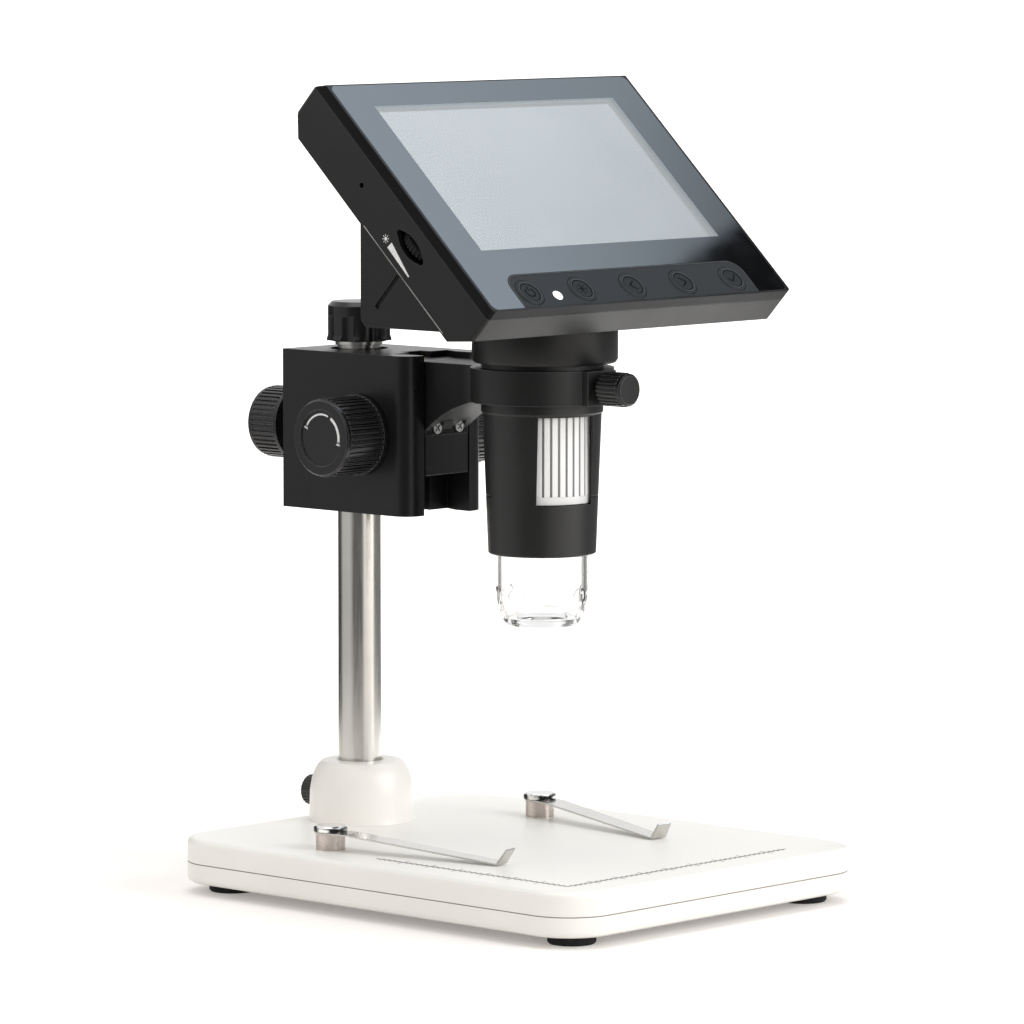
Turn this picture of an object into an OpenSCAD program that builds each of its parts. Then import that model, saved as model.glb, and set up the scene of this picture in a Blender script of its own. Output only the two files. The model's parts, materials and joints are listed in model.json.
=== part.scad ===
// LCD digital microscope: tilted screen head and barrel, held in the ring of a
// rack-and-pinion carriage that slides and swivels on a column in a weighted base.
// Millimetres, +X to the user's right, +Y to the back, +Z up. The origin lies on the
// table, under the middle of the object's footprint.

/* [Base] */
// Width of the base, left to right
base_w = 120.6; // [112:0.2:130]
// Depth of the base, front to back
base_d = 152; // [140:1:170]
// Corner radius of the base, seen from above
base_corner = 14; // [12:0.5:20]
// Height of the rubber feet under the base
foot_h = 3; // [2:0.1:5]
// Radius of a rubber foot
foot_r = 6.5; // [5:0.1:7.5]
// Height of the lower base cover
lower_h = 5.6; // [5.4:0.1:8]
// Height of the upper base cover
upper_h = 6.7; // [6:0.1:9]
// Wall thickness of the base covers
base_wall = 2; // [1.5:0.1:2.5]
// Thickness of the steel weight in the base
weight_h = 4.5; // [3:0.1:6]

/* [Column] */
// Distance of the column axis from the back edge of the base
column_inset = 16; // [15.8:0.1:25]
// Outer radius of the column
column_r = 6.1; // [5.5:0.05:6.3]
// Wall thickness of the column tube
column_wall = 1.1; // [0.8:0.1:2]
// Height of the column's collar above the table
collar_z = 149.3; // [149.2:0.1:160]
// Height of the socket dome above the base
socket_h = 17; // [14:0.5:24]
// Radius of the socket dome at its foot
socket_r = 14.9; // [14.5:0.1:17]
// How far the dome's middle lies in front of the column axis
socket_forward = 0.7; // [0:0.1:1.4]
// Running clearance of the column in its socket and bush
column_fit = 0.05; // [0.02:0.01:0.1]

/* [Clips] */
// Distance between the two clip posts
clip_spacing = 84.2; // [70:0.2:90]
// Sideways offset of the clip pair from the middle of the base
clip_offset = -3.8; // [-5:0.1:5]
// Distance of the clip posts in front of the column axis
clip_forward = 33.5; // [30:0.1:40]
// Radius of a clip post
clip_post_r = 4; // [3.5:0.1:5]
// Length of a clip blade from its post to the bend
blade_len = 55; // [40:1:58]
// Angle by which the blades turn inward
blade_turn = 11; // [0:1:20]

/* [Carriage] */
// Width of the carriage block
block_w = 31.8; // [31:0.2:36]
// Height of the carriage block
block_h = 44.3; // [42:0.1:46]
// Height of the block's lower face above the table
block_z = 103.9; // [100:0.1:104]
// Depth of the block in front of the column axis
block_front = 33.8; // [33.5:0.1:36]
// Depth of the block behind the column axis
block_back = 14.3; // [14:0.1:18]
// Radius of the block's front corners
block_corner = 5; // [2:0.1:6]
// Distance of the focus shaft in front of the column axis
pinion_forward = 15.7; // [15.7:0.1:16.2]
// Module of the rack and pinion
gear_module = 0.6; // [0.55:0.01:0.62]
// Teeth on the pinion
pinion_teeth = 17; // [16:1:17]
// Radius of the focus and clamp knobs over their flutes
knob_r = 10.6; // [9.5:0.1:11]
// Length of a focus knob
knob_len = 14.9; // [12:0.1:18]
// Flutes around a knob
knob_flutes = 44; // [30:1:50]
// Half width of the dovetail slider at its front face
slider_half = 8.45; // [8:0.05:8.8]
// Running clearance of the dovetail
slide_fit = 0.15; // [0.05:0.01:0.25]

/* [Scope] */
// Distance of the optical axis in front of the column axis
optic_forward = 69.6; // [68:0.1:74]
// Outer radius of the clamp ring
ring_r = 19.6; // [19:0.1:21]
// Height of the clamp ring
ring_h = 9.4; // [8:0.1:10]
// Height of the clamp ring's top above the table
ring_top = 146.5; // [146:0.1:147]
// Radius of the barrel where the ring holds it
barrel_r = 16.7; // [16.5:0.05:17]
// Radius of the barrel at its lower end
barrel_end_r = 14.75; // [14.6:0.05:15]
// Height of the barrel's lower end above the table
barrel_z = 95.6; // [95:0.1:96]
// Radius of the focus wheel
wheel_r = 14.2; // [13.8:0.05:14.3]
// Radius of the clear nose cap
nose_r = 12.6; // [12.2:0.05:12.65]
// Length of the nose cap below the barrel
nose_len = 19.6; // [16:0.1:20]
// Radius of the neck under the head
neck_r = 19.95; // [19:0.05:20.5]

/* [Head] */
// Tilt of the screen from level
tilt = 43.4; // [42:0.1:45]
// Length of the head from the screen's middle down to its lower end
head_down = 48.6; // [48.4:0.1:50]
// Length of the head from the screen's middle up to its upper end
head_up = 38.6; // [38.2:0.1:40]
// Thickness of the head's slab
head_t = 17.8; // [17.4:0.1:20]
// Height of the screen's middle above the table
screen_z = 199.55; // [199:0.05:201]
// Distance of the screen's middle in front of the optical axis
screen_forward = 2.4; // [2:0.1:3]
// Width of the wedge behind the slab
wedge_w = 100; // [90:1:104]
// Height of the wedge's underside above the table
wedge_z = 159; // [158.8:0.1:159.4]
// Wall thickness of the head's shells
shell_wall = 2; // [1.6:0.1:2.2]
// Width of the border on each side of the display's active area
side_border = 12.28; // [11.6:0.02:14]
// Width of the display's active area
screen_w = 95.04; // [90:0.01:97]
// Height of the display's active area
screen_h = 53.86; // [50:0.01:56]
// Distance between the middles of two keys
key_pitch = 20.3; // [18:0.1:21]
// Radius of a key
key_r = 4.35; // [3.8:0.05:4.4]

/* [Hidden] */
$fn = 64;
far = 200;                  // cutting tools reach past every body
cut = 0.5;                  // a cut starts this far outside a face
part_fit = 0.02;            // radial gap of parts that are pressed together
shaft_fit = 0.05;           // radial gap of a turning shaft in its bore

// base
part_z = foot_h + lower_h;
deck_z = part_z + upper_h;
floor_z = foot_h + base_wall;
knob_overhang = 18.7;       // the clamp knob reaches this far behind the base
base_front = -(base_d + knob_overhang) / 2;
base_mid = base_front + base_d / 2;
column_y = base_front + base_d - column_inset;
foot_x = 47;
foot_inset = 12.5;
boss_x = 52;
boss_inset = 30;
boss_r = 3;
screw_r = 1.2;
screw_head_r = 2.6;
screw_head_h = 1.7;
screw_fit = 0.05;
socket_screw_x = 9.2;
spigot_r = 12;
column_foot_z = floor_z + 2;
dome_top = deck_z + socket_h;
dome_y = column_y - socket_forward;
lock_z = deck_z + 6.4;
lock_stud_r = 2;
lock_knob_r = 4.35;
lock_knob_back = column_y + 19.8;
lock_knob_len = 4.6;

// clips
clip_y = column_y - clip_forward;
post_top = deck_z + 4.4;
blade_t = 0.4;
blade_w = 7;
pin_r = 1.6;
cap_r = 4.65;
cap_h = 1.75;

// column and carriage
collar_h = 1.1;
cap_z = collar_z + collar_h;
column_cap_h = 11;
column_cap_r = 9.1;
bush_r = column_r + 2;
block_top = block_z + block_h;
block_y0 = column_y - block_front;
block_y1 = column_y + block_back;
shaft_z = block_top - 22.4;
shaft_y = column_y - pinion_forward;
shaft_r = 2.5;
pitch_r = gear_module * pinion_teeth / 2;
rack_pitch_y = shaft_y - pitch_r;
rack_root_y = rack_pitch_y - 1.25 * gear_module;
channel_y = rack_root_y - 1.85;         // back of the dovetail channel
rack_groove_y = rack_pitch_y + 1.2;     // back of the groove for the rack
mouth_half = slider_half + 0.6;
slider_front = block_y0;
flare_y = channel_y - 5.2;    // the dovetail starts to widen here
slider_z = block_z + 11;
flare = 2;
foot_low_z = block_z + 21.9;  // lower end of the arm's foot, let into the slider
foot_t = 1.6;
rack_half = 3.8;
knob_gap = 0.6;

// scope
optic_y = column_y - optic_forward;
ring_z = ring_top - ring_h;
wheel_z = barrel_z + 14.2;
wheel_h = 23.9;
seat_z = barrel_z + 4.2;
barrel_top = ring_top + 1.4;
screen_y = optic_y - screen_forward;
window_turn = -110;         // direction the wheel's window faces, seen from above
window_half = 8.4;
neck_forward = 1;           // the neck's middle lies in front of the optical axis

// head, in the screen's own frame: y up the screen, z out of the glass
head_w = screen_w + 2 * side_border;
side_x = head_w / 2;
glass_t = 1.2;
bezel_t = 3.3;
glass_half = side_x - 0.9;
glass_low = -head_down + 0.6;
glass_high = head_up - 3.6;
slab_corner = 1.2;
panel_half = 2 * key_pitch + 6.4;
panel_high = -36.2;
panel_round = 4.8;
key_row = -42.9;
key_mid = -0.7;
key_top = 0.2;
key_depth = 2.7;
key_stem_r = 1.1;
board_n = -8;
board_t = 1.6;
board_half = side_x - 6.8;
board_half_h = 28;
board_boss_x = board_half - 13;
board_boss_y = 23;
lcd_half = screen_w / 2 + 5.23;
lcd_half_h = screen_h / 2 + 6.67;
shell_screw_x = side_x - 4.2;
dial_r = 8;
dial_x = 0.35 + dial_r - side_x;
dial_row = -16;
dial_n = -10.4;
dial_t = 2.1;
dial_mid = dial_n + dial_t / 2;
slot_wide = dial_t / 2 + 1.6;
slot_long = 6.6;
reset_row = 7.8;
reset_n = -10.1;
rear_y = optic_y + 20.2;

function head_pt(y, z) = [
    (y - screen_y) * cos(tilt) + (z - screen_z) * sin(tilt),
    -(y - screen_y) * sin(tilt) + (z - screen_z) * cos(tilt)];
function z_on_plane(y, n) = screen_z + (n + (y - screen_y) * sin(tilt)) / cos(tilt);
function y_on_plane(z, n) = screen_y + ((z - screen_z) * cos(tilt) - n) / sin(tilt);
function arc_pts(cx, cy, r, a0, a1, steps) =
    [for (i = [0:steps]) let (a = a0 + (a1 - a0) * i / steps) [cx + r * cos(a), cy + r * sin(a)]];

// ---- shared shapes ----

module rounded_rect(w, d, r) {
    square([w - 2 * r, d], center = true);
    square([w, d - 2 * r], center = true);
    for (x = [-1, 1], y = [-1, 1])
        translate([x * (w / 2 - r), y * (d / 2 - r)]) circle(r);
}

// plate with the base's outline, its edge given as points [inset, z] going up
module base_plate(edge) {
    half_x = base_w / 2 - base_corner;
    half_y = base_d / 2 - base_corner;
    right = [for (p = edge) [base_corner - p[0], p[1]]];
    low = edge[0][1];
    high = edge[len(edge) - 1][1];
    translate([0, base_mid, 0]) {
        for (x = [-1, 1], y = [-1, 1]) translate([x * half_x, y * half_y, 0]) rotate_extrude()
            polygon(concat([[0, low]], right, [[0, high]]));
        rotate([90, 0, 0]) linear_extrude(2 * half_y, center = true) edge_outline(right, half_x);
        rotate([90, 0, 90]) linear_extrude(2 * half_x, center = true) edge_outline(right, half_y);
    }
}

module edge_outline(right, half) {
    n = len(right);
    polygon(concat([for (p = right) [half + p[0], p[1]]],
        [for (i = [n - 1:-1:0]) [-half - right[i][0], right[i][1]]]));
}

module base_cavity(z0, z1) {
    translate([0, base_mid, z0]) linear_extrude(z1 - z0)
        rounded_rect(base_w - 2 * base_wall, base_d - 2 * base_wall, base_corner - base_wall);
}

module at_bosses() {
    for (x = [-boss_x, boss_x], s = [-1, 1])
        translate([x, base_mid + s * (base_d / 2 - boss_inset), 0]) children();
}

module at_socket_screws() {
    for (x = [-socket_screw_x, socket_screw_x]) translate([x, column_y, 0]) children();
}

module at_feet() {
    for (x = [-foot_x, foot_x], s = [-1, 1])
        translate([x, base_mid + s * (base_d / 2 - foot_inset), 0]) children();
}

module at_clip(side) {
    translate([clip_offset + side * clip_spacing / 2, clip_y, 0]) children();
}

// cylinder along +Y from y0 to y1, and along +X from x0 to x1
module rod_y(r, x, z, y0, y1) {
    translate([x, y1, z]) rotate([90, 0, 0]) cylinder(h = y1 - y0, r = r);
}

module rod_x(r, y, z, x0, x1) {
    translate([x0, y, z]) rotate([0, 90, 0]) cylinder(h = x1 - x0, r = r);
}

// ring of square flutes, as an outline
module fluted(r, depth, n, land = 0.42) {
    polygon([for (i = [0:n - 1], k = [0, land, land + 0.08, 0.92])
        let (a = (i + k) * 360 / n, q = k > land ? r - depth : r) [q * cos(a), q * sin(a)]]);
}

// knob along +Z: fluted body, plain rear collar and plain front rim with a dished face
module fluted_knob(r, len) {
    difference() {
        union() {
            cylinder(h = 1.2, r = r + 0.6);
            translate([0, 0, 1.2]) linear_extrude(len - 2.7) fluted(r + 0.3, 0.55, knob_flutes);
            translate([0, 0, len - 1.5]) cylinder(h = 1.1, r = r);
            translate([0, 0, len - 0.4]) cylinder(h = 0.4, r1 = r, r2 = r - 0.4);
        }
        translate([0, 0, len - 0.5]) cylinder(h = 1, r = r * 0.74);
    }
}

module in_head() {
    translate([0, screen_y, screen_z]) rotate([tilt, 0, 0]) children();
}

// prism across the head, from an outline given as [up the screen, out of the glass]
module head_prism(w, pts) {
    translate([-w / 2, 0, 0]) rotate([90, 0, 90]) linear_extrude(w) polygon(pts);
}

// box in the head's frame between two corners
module head_box(a, b) {
    translate(a) cube(b - a);
}

module at_keys() {
    for (i = [-2:2]) translate([key_mid + i * key_pitch, key_row, 0]) children();
}

module at_shell_screws() {
    for (x = [-shell_screw_x, shell_screw_x], y = [-39, 30.5]) translate([x, y, 0]) children();
}

module at_board_bosses() {
    for (x = [-board_boss_x, board_boss_x], y = [-board_boss_y, board_boss_y])
        translate([x, y, 0]) children();
}

// ---- base ----

module base_top_cover() {
    color("#f1f1ec") difference() {
        union() {
            difference() {
                base_plate([[0.2, part_z], [0, part_z + 0.2], [0, deck_z - 1.5],
                    [0.2, deck_z - 0.8], [0.75, deck_z - 0.2], [1.5, deck_z]]);
                base_cavity(part_z - cut, deck_z - base_wall - 0.2);
            }
            at_bosses() translate([0, 0, part_z])
                cylinder(h = upper_h - base_wall, r = boss_r);
        }
        at_bosses() translate([0, 0, part_z - cut])
            cylinder(h = upper_h - base_wall, r = screw_r + screw_fit);
        translate([0, column_y, part_z]) cylinder(h = far, r = spigot_r + 0.1);
        for (side = [-1, 1]) at_clip(side)
            translate([0, 0, part_z]) cylinder(h = far, r = pin_r + part_fit);
    }
}

module base_bottom_cover() {
    color("#ecebe4") difference() {
        union() {
            difference() {
                base_plate([[1.2, foot_h], [0.3, foot_h + 0.5], [0, foot_h + 1.4],
                    [0, part_z - 0.2], [0.2, part_z]]);
                base_cavity(floor_z, part_z + cut);
            }
            at_bosses() translate([0, 0, floor_z]) cylinder(h = part_z - floor_z, r = boss_r);
        }
        at_bosses() cover_screw_hole();
        at_socket_screws() cover_screw_hole();
        at_feet() translate([0, 0, foot_h - cut]) cylinder(h = 0.8 + cut, r = foot_r + 0.1);
    }
}

module cover_screw_hole() {
    translate([0, 0, foot_h - cut]) cylinder(h = far, r = screw_r + screw_fit);
    translate([0, 0, foot_h - cut]) cylinder(h = screw_head_h + 0.1 + cut, r = screw_head_r + 0.1);
}

module base_weight() {
    weight_back = column_y - spigot_r - 6;
    weight_front = base_front + base_wall + 5;
    weight_half = base_w / 2 - 16.3;
    color("#7d8084") translate([-weight_half, weight_front, floor_z])
        cube([2 * weight_half, weight_back - weight_front, weight_h]);
}

module rubber_feet() {
    color("#1b1b1b") at_feet() {
        cylinder(h = 0.5, r1 = foot_r - 0.4, r2 = foot_r);
        translate([0, 0, 0.5]) cylinder(h = foot_h + 0.3, r = foot_r);
    }
}

module cover_screw(top) {
    translate([0, 0, foot_h + 0.1]) difference() {
        cylinder(h = screw_head_h, r = screw_head_r);
        for (a = [0, 90]) rotate(a) translate([-1.5, -0.25, -cut]) cube([3, 0.5, 0.8 + cut]);
    }
    translate([0, 0, foot_h + screw_head_h]) cylinder(h = top - foot_h - screw_head_h, r = screw_r);
}

module base_screws() {
    color("#9aa0a4") {
        at_bosses() cover_screw(deck_z - base_wall - 1);
        at_socket_screws() cover_screw(deck_z);
    }
}

module column_socket() {
    color("#e9e2d8") difference() {
        union() {
            translate([0, dome_y, 0]) rotate_extrude() polygon([[0, deck_z], [socket_r + 0.3, deck_z],
                [socket_r, deck_z + 0.8], [socket_r - 0.25, dome_top - 8.5],
                [socket_r - 0.8, dome_top - 5.2], [socket_r - 1.6, dome_top - 2.9],
                [socket_r - 2.6, dome_top - 1.2], [socket_r - 3.7, dome_top - 0.2],
                [socket_r - 4.6, dome_top], [0, dome_top]]);
            translate([0, column_y, floor_z]) cylinder(h = deck_z - floor_z, r = spigot_r);
        }
        translate([0, column_y, column_foot_z]) cylinder(h = far, r = column_r + column_fit);
        translate([0, column_y, dome_top - 0.5])
            cylinder(h = 1, r1 = column_r + column_fit, r2 = column_r + 1.2);
        at_socket_screws() translate([0, 0, floor_z - cut])
            cylinder(h = deck_z - floor_z + 1.2, r = screw_r + screw_fit);
        rod_y(lock_stud_r + shaft_fit, 0, lock_z, column_y, column_y + socket_r + 5);
    }
}

module socket_lock_stud() {
    color("#b9bdc0")
        rod_y(lock_stud_r, 0, lock_z, column_y + column_r + 0.25, lock_knob_back - 1.5);
}

module socket_lock_knob() {
    color("#1d1d1e") difference() {
        translate([0, lock_knob_back - lock_knob_len, lock_z]) rotate([-90, 0, 0]) {
            linear_extrude(lock_knob_len - 0.5) fluted(lock_knob_r, 0.35, 24);
            translate([0, 0, lock_knob_len - 0.5])
                cylinder(h = 0.5, r1 = lock_knob_r - 0.1, r2 = lock_knob_r - 0.6);
        }
        rod_y(lock_stud_r + part_fit, 0, lock_z, column_y, lock_knob_back - 1.5);
    }
}

// ---- stage clips ----

module clip_posts() {
    color("#d9d8d4") for (side = [-1, 1]) at_clip(side) {
        translate([0, 0, deck_z]) cylinder(h = post_top - deck_z, r = clip_post_r);
        translate([0, 0, part_z + upper_h - base_wall])
            cylinder(h = post_top + blade_t + 0.1 - deck_z + base_wall, r = pin_r);
    }
}

module clip_caps() {
    color("#c9ccd0") for (side = [-1, 1]) at_clip(side)
        translate([0, 0, post_top + blade_t + 0.1]) {
            cylinder(h = cap_h - 0.5, r = cap_r);
            translate([0, 0, cap_h - 0.5]) cylinder(h = 0.5, r1 = cap_r, r2 = cap_r - 0.5);
        }
}

// a spring blade that points to -Y: it falls from the post to the deck and turns up at its tip
module clip_blade() {
    level = post_top + 0.05;
    low = deck_z + 0.35;
    color("#bfc3c6") difference() {
        intersection() {
            translate([-blade_w / 2 - 1, 0, 0]) rotate([90, 0, 90]) linear_extrude(blade_w + 2)
                polygon([[clip_post_r + 1, level], [-7, level], [-blade_len, low],
                    [-blade_len - 3, low + 4.2], [-blade_len - 2.67, low + 4.43],
                    [-blade_len + 0.22, low + blade_t], [-7, level + blade_t],
                    [clip_post_r + 1, level + blade_t]]);
            translate([0, 0, deck_z]) linear_extrude(9) polygon(concat(
                arc_pts(0, 0, clip_post_r + 0.3, -30, 210, 16),
                [[-blade_w / 2, -10], [-2.6, -blade_len], [-2.2, -blade_len - 2.8],
                [-1, -blade_len - 3.8], [1, -blade_len - 3.8], [2.2, -blade_len - 2.8],
                [2.6, -blade_len], [blade_w / 2, -10]]));
        }
        cylinder(h = far, r = pin_r + shaft_fit);
    }
}

module clip_blade_left() {
    at_clip(-1) rotate(blade_turn) clip_blade();
}

module clip_blade_right() {
    at_clip(1) rotate(-blade_turn) clip_blade();
}

// ---- column ----

module column() {
    color("#c7c3bb") translate([0, column_y, column_foot_z]) difference() {
        cylinder(h = cap_z + 4.6 - column_foot_z, r = column_r);
        translate([0, 0, -cut]) cylinder(h = far, r = column_r - column_wall);
    }
}

module column_collar() {
    color("#d2cfc8") translate([0, column_y, collar_z]) difference() {
        cylinder(h = collar_h, r = column_r + 0.6);
        translate([0, 0, -cut]) cylinder(h = far, r = column_r + part_fit);
    }
}

module column_cap() {
    r = column_cap_r;
    color("#232324") difference() {
        translate([0, column_y, cap_z]) difference() {
            rotate_extrude() polygon([[0, 0], [r, 0], [r, 0.5], [r - 0.35, 1.6],
                [r - 0.35, column_cap_h - 1.2], [r - 1.5, column_cap_h], [0, column_cap_h]]);
            for (a = [22.5:45:360]) rotate(a) translate([r + 3.1, 0, -cut])
                cylinder(h = 7 + cut, r = 4);
        }
        translate([0, column_y, cap_z - cut]) cylinder(h = 4.8 + cut, r = column_r + part_fit);
    }
}

module column_bush() {
    color("#3a3a3c") translate([0, column_y, block_z]) difference() {
        union() {
            cylinder(h = block_h - 1, r = bush_r);
            cylinder(h = 1, r = bush_r + 1.1);
        }
        translate([0, 0, -cut]) cylinder(h = far, r = column_r + column_fit);
    }
}

// ---- carriage with its dovetail, rack and pinion ----

module block_outline() {
    r = block_corner;
    translate([-block_w / 2, block_y0 + r]) square([block_w, block_y1 - block_y0 - r]);
    translate([-block_w / 2 + r, block_y0]) square([block_w - 2 * r, r + 1]);
    for (x = [-1, 1]) translate([x * (block_w / 2 - r), block_y0 + r]) circle(r);
}

module carriage_block() {
    color("#262627") difference() {
        translate([0, 0, block_z]) linear_extrude(block_h) block_outline();
        // dovetail channel, open at the front, the top and the bottom
        translate([0, 0, block_z - cut]) linear_extrude(far) polygon([
            [-mouth_half, block_y0 - cut], [-mouth_half, flare_y],
            [-mouth_half - flare, channel_y], [mouth_half + flare, channel_y],
            [mouth_half, flare_y], [mouth_half, block_y0 - cut]]);
        // groove for the rack and chamber for the pinion
        translate([-rack_half - 0.4, channel_y - cut, block_z - cut])
            cube([2 * rack_half + 0.8, rack_groove_y - channel_y + cut, far]);
        rod_x(pitch_r + 1.2, shaft_y, shaft_z, -rack_half - 0.4, rack_half + 0.4);
        rod_x(shaft_r + shaft_fit, shaft_y, shaft_z, -far, far);
        // bore for the bush, with a recess for its flange
        translate([0, column_y, block_z - cut]) cylinder(h = far, r = bush_r + shaft_fit);
        translate([0, column_y, block_z - cut]) cylinder(h = 1.1 + cut, r = bush_r + 1.2);
        // clamp screw and shoe
        rod_y(shaft_r + shaft_fit, 0, shaft_z, column_y, far);
        rod_y(shaft_r + 1.1, 0, shaft_z, column_y, column_y + bush_r + 2.3);
    }
}

module clamp_shoe() {
    color("#b08d4a") rod_y(shaft_r + 1, 0, shaft_z, column_y + bush_r + 0.3, column_y + bush_r + 1.9);
}

module clamp_stud() {
    color("#b9bdc0") rod_y(shaft_r, 0, shaft_z, column_y + bush_r + 1.9, column_y + 28);
}

module clamp_knob() {
    knob_back = base_front + base_d + knob_overhang;
    color("#2a2a2b") difference() {
        union() {
            rod_y(5.5, 0, shaft_z, block_y1 + 0.4, knob_back - 11.9);
            translate([0, knob_back - 11.9, shaft_z]) rotate([-90, 0, 0])
                fluted_knob(knob_r - 0.7, 11.9);
        }
        rod_y(shaft_r + part_fit, 0, shaft_z, column_y, column_y + 28);
    }
}

// involute tooth: half angle of the tooth at radius q
function inv_deg(a) = tan(a) * 180 / PI - a;
function tooth_half(q) = 90 / pinion_teeth - 0.7 + inv_deg(20)
    - inv_deg(acos(min(1, pitch_r * cos(20) / q)));

module pinion_outline() {
    root = pitch_r - 1.25 * gear_module;
    tip = pitch_r + 0.9 * gear_module;
    base_q = max(root, pitch_r * cos(20));
    steps = 4;
    qs = concat([root], [for (i = [0:steps]) base_q + (tip - base_q) * i / steps]);
    n = len(qs);
    polygon([for (t = [0:pinion_teeth - 1], k = [0:2 * n - 1])
        let (q = k < n ? qs[k] : qs[2 * n - 1 - k],
            a = t * 360 / pinion_teeth + (k < n ? -1 : 1) * tooth_half(max(q, base_q)))
        [q * cos(a), q * sin(a)]]);
}

module pinion_gear() {
    // a gap between two teeth faces the rack
    phase = 180 + 180 / pinion_teeth;
    color("#c2a25c") difference() {
        translate([-rack_half + 0.4, shaft_y, shaft_z]) rotate([90, 0, 90]) rotate(phase)
            linear_extrude(2 * rack_half - 0.8) pinion_outline();
        rod_x(shaft_r + part_fit, shaft_y, shaft_z, -far, far);
    }
}

module pinion_shaft() {
    color("#b9bdc0") rod_x(shaft_r, shaft_y, shaft_z, -25, 25);
}

module focus_knob(side) {
    color("#242425") difference() {
        translate([side * (block_w / 2 + knob_gap), shaft_y, shaft_z]) rotate([0, side * 90, 0])
            fluted_knob(knob_r, knob_len);
        rod_x(shaft_r + part_fit, shaft_y, shaft_z, -25, 25);
    }
}

module focus_knob_left() {
    focus_knob(-1);
}

module focus_knob_right() {
    focus_knob(1);
}

module focus_slider() {
    back = channel_y - 0.2;
    neck = mouth_half - slide_fit;
    wide = neck + flare * (back - flare_y) / (channel_y - flare_y);
    color("#2b2b2c") difference() {
        translate([0, 0, slider_z]) linear_extrude(ring_top - slider_z) polygon([
            [-slider_half, slider_front], [-slider_half, flare_y + 0.1], [-neck, flare_y + 0.1],
            [-wide, back], [wide, back],
            [neck, flare_y + 0.1], [slider_half, flare_y + 0.1], [slider_half, slider_front]]);
        translate([-far / 2, slider_front - cut, foot_low_z]) cube([far, foot_t + cut, far]);
        at_arm_screws() rod_y(1 + part_fit, 0, 0, slider_front, slider_front + 7.2);
    }
}

module rack() {
    pitch = PI * gear_module;
    y0 = channel_y - 0.2;
    lean = tan(20) * gear_module;
    half = pitch / 4 - 0.06;
    color("#c2a25c") translate([-rack_half, 0, 0]) rotate([90, 0, 90]) linear_extrude(2 * rack_half)
        union() {
            translate([y0, slider_z]) square([rack_root_y - y0, ring_top - slider_z]);
            for (i = [-5:10]) translate([rack_pitch_y, shaft_z + i * pitch])
                polygon([[-1.26 * gear_module, -half - 1.25 * lean], [0.9 * gear_module, -half + 0.9 * lean],
                    [0.9 * gear_module, half - 0.9 * lean], [-1.26 * gear_module, half + 1.25 * lean]]);
        }
}

// ---- arm and clamp ring ----

module at_arm_screws() {
    for (x = [-4.4, 4.4]) translate([x, 0, ring_z - 9.1]) children();
}

module scope_arm() {
    arch_r = 38.5;
    arch_y = optic_y + 10.5;
    arch_z = ring_z - arch_r;
    arch_end = acos((slider_front - arch_y) / arch_r);
    boss_y = optic_y - 21.9;
    color("#29292a") difference() {
        union() {
            translate([0, optic_y, ring_z]) cylinder(h = ring_h, r = ring_r);
            translate([-slider_half, 0, 0]) rotate([90, 0, 90]) linear_extrude(2 * slider_half)
                polygon(concat([[slider_front + foot_t, ring_top], [optic_y + 10, ring_top]],
                    [for (i = [0:12]) let (a = 90 + (arch_end - 90) * i / 12)
                        [arch_y + arch_r * cos(a), arch_z + arch_r * sin(a)]],
                    [[slider_front, foot_low_z], [slider_front + foot_t, foot_low_z]]));
            translate([0, 0, ring_z]) linear_extrude(ring_h) polygon([[-7.8, optic_y - 14],
                [-7.8, optic_y - 17.9], [-5.65, optic_y - 19.6], [-5.65, boss_y], [5.65, boss_y],
                [5.65, optic_y - 19.6], [7.8, optic_y - 17.9], [7.8, optic_y - 14]]);
        }
        translate([0, optic_y, ring_z - cut]) cylinder(h = far, r = barrel_r + shaft_fit);
        rod_y(1.5 + shaft_fit, 0, ring_z + ring_h / 2, optic_y - 30, optic_y - 10);
        at_arm_screws() {
            rod_y(1 + part_fit, 0, 0, optic_y, slider_front + 3);
            rod_y(1.8, 0, 0, slider_front - 8, slider_front + 0.4);
        }
    }
}

module arm_screws() {
    color("#d8dadc") at_arm_screws() {
        rod_y(1, 0, 0, slider_front, slider_front + 7);
        difference() {
            rod_y(1.65, 0, 0, slider_front - 0.8, slider_front + 0.4);
            for (a = [45, 135]) translate([0, slider_front - 0.8, 0]) rotate([0, a, 0])
                cube([2.2, 0.8, 0.4], center = true);
        }
    }
}

module ring_lock_stud() {
    color("#b8834e") rod_y(1.5, 0, ring_z + ring_h / 2, optic_y - 30.4, optic_y - barrel_r - 0.25);
}

module ring_lock_knob() {
    face = 4.7;
    long = 8.3;
    color("#222223") difference() {
        translate([0, optic_y - 23.8, ring_z + ring_h / 2]) rotate([90, 0, 0]) {
            linear_extrude(long - 1.5) fluted(face, 0.45, 24);
            translate([0, 0, long - 1.5]) cylinder(h = 1, r = face - 0.25);
            translate([0, 0, long - 0.5]) cylinder(h = 0.5, r1 = face - 0.25, r2 = face - 0.8);
        }
        rod_y(1.5 + part_fit, 0, ring_z + ring_h / 2, optic_y - 30.4, optic_y);
    }
}

// ---- barrel and optics ----

module barrel_cone() {
    translate([0, optic_y, 0]) rotate_extrude() polygon([[0, barrel_z],
        [barrel_end_r - 0.35, barrel_z], [barrel_end_r, barrel_z + 0.35],
        [barrel_r - 0.45, ring_z - 3], [barrel_r, ring_z - 2.6], [barrel_r, barrel_top],
        [0, barrel_top]]);
}

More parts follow.
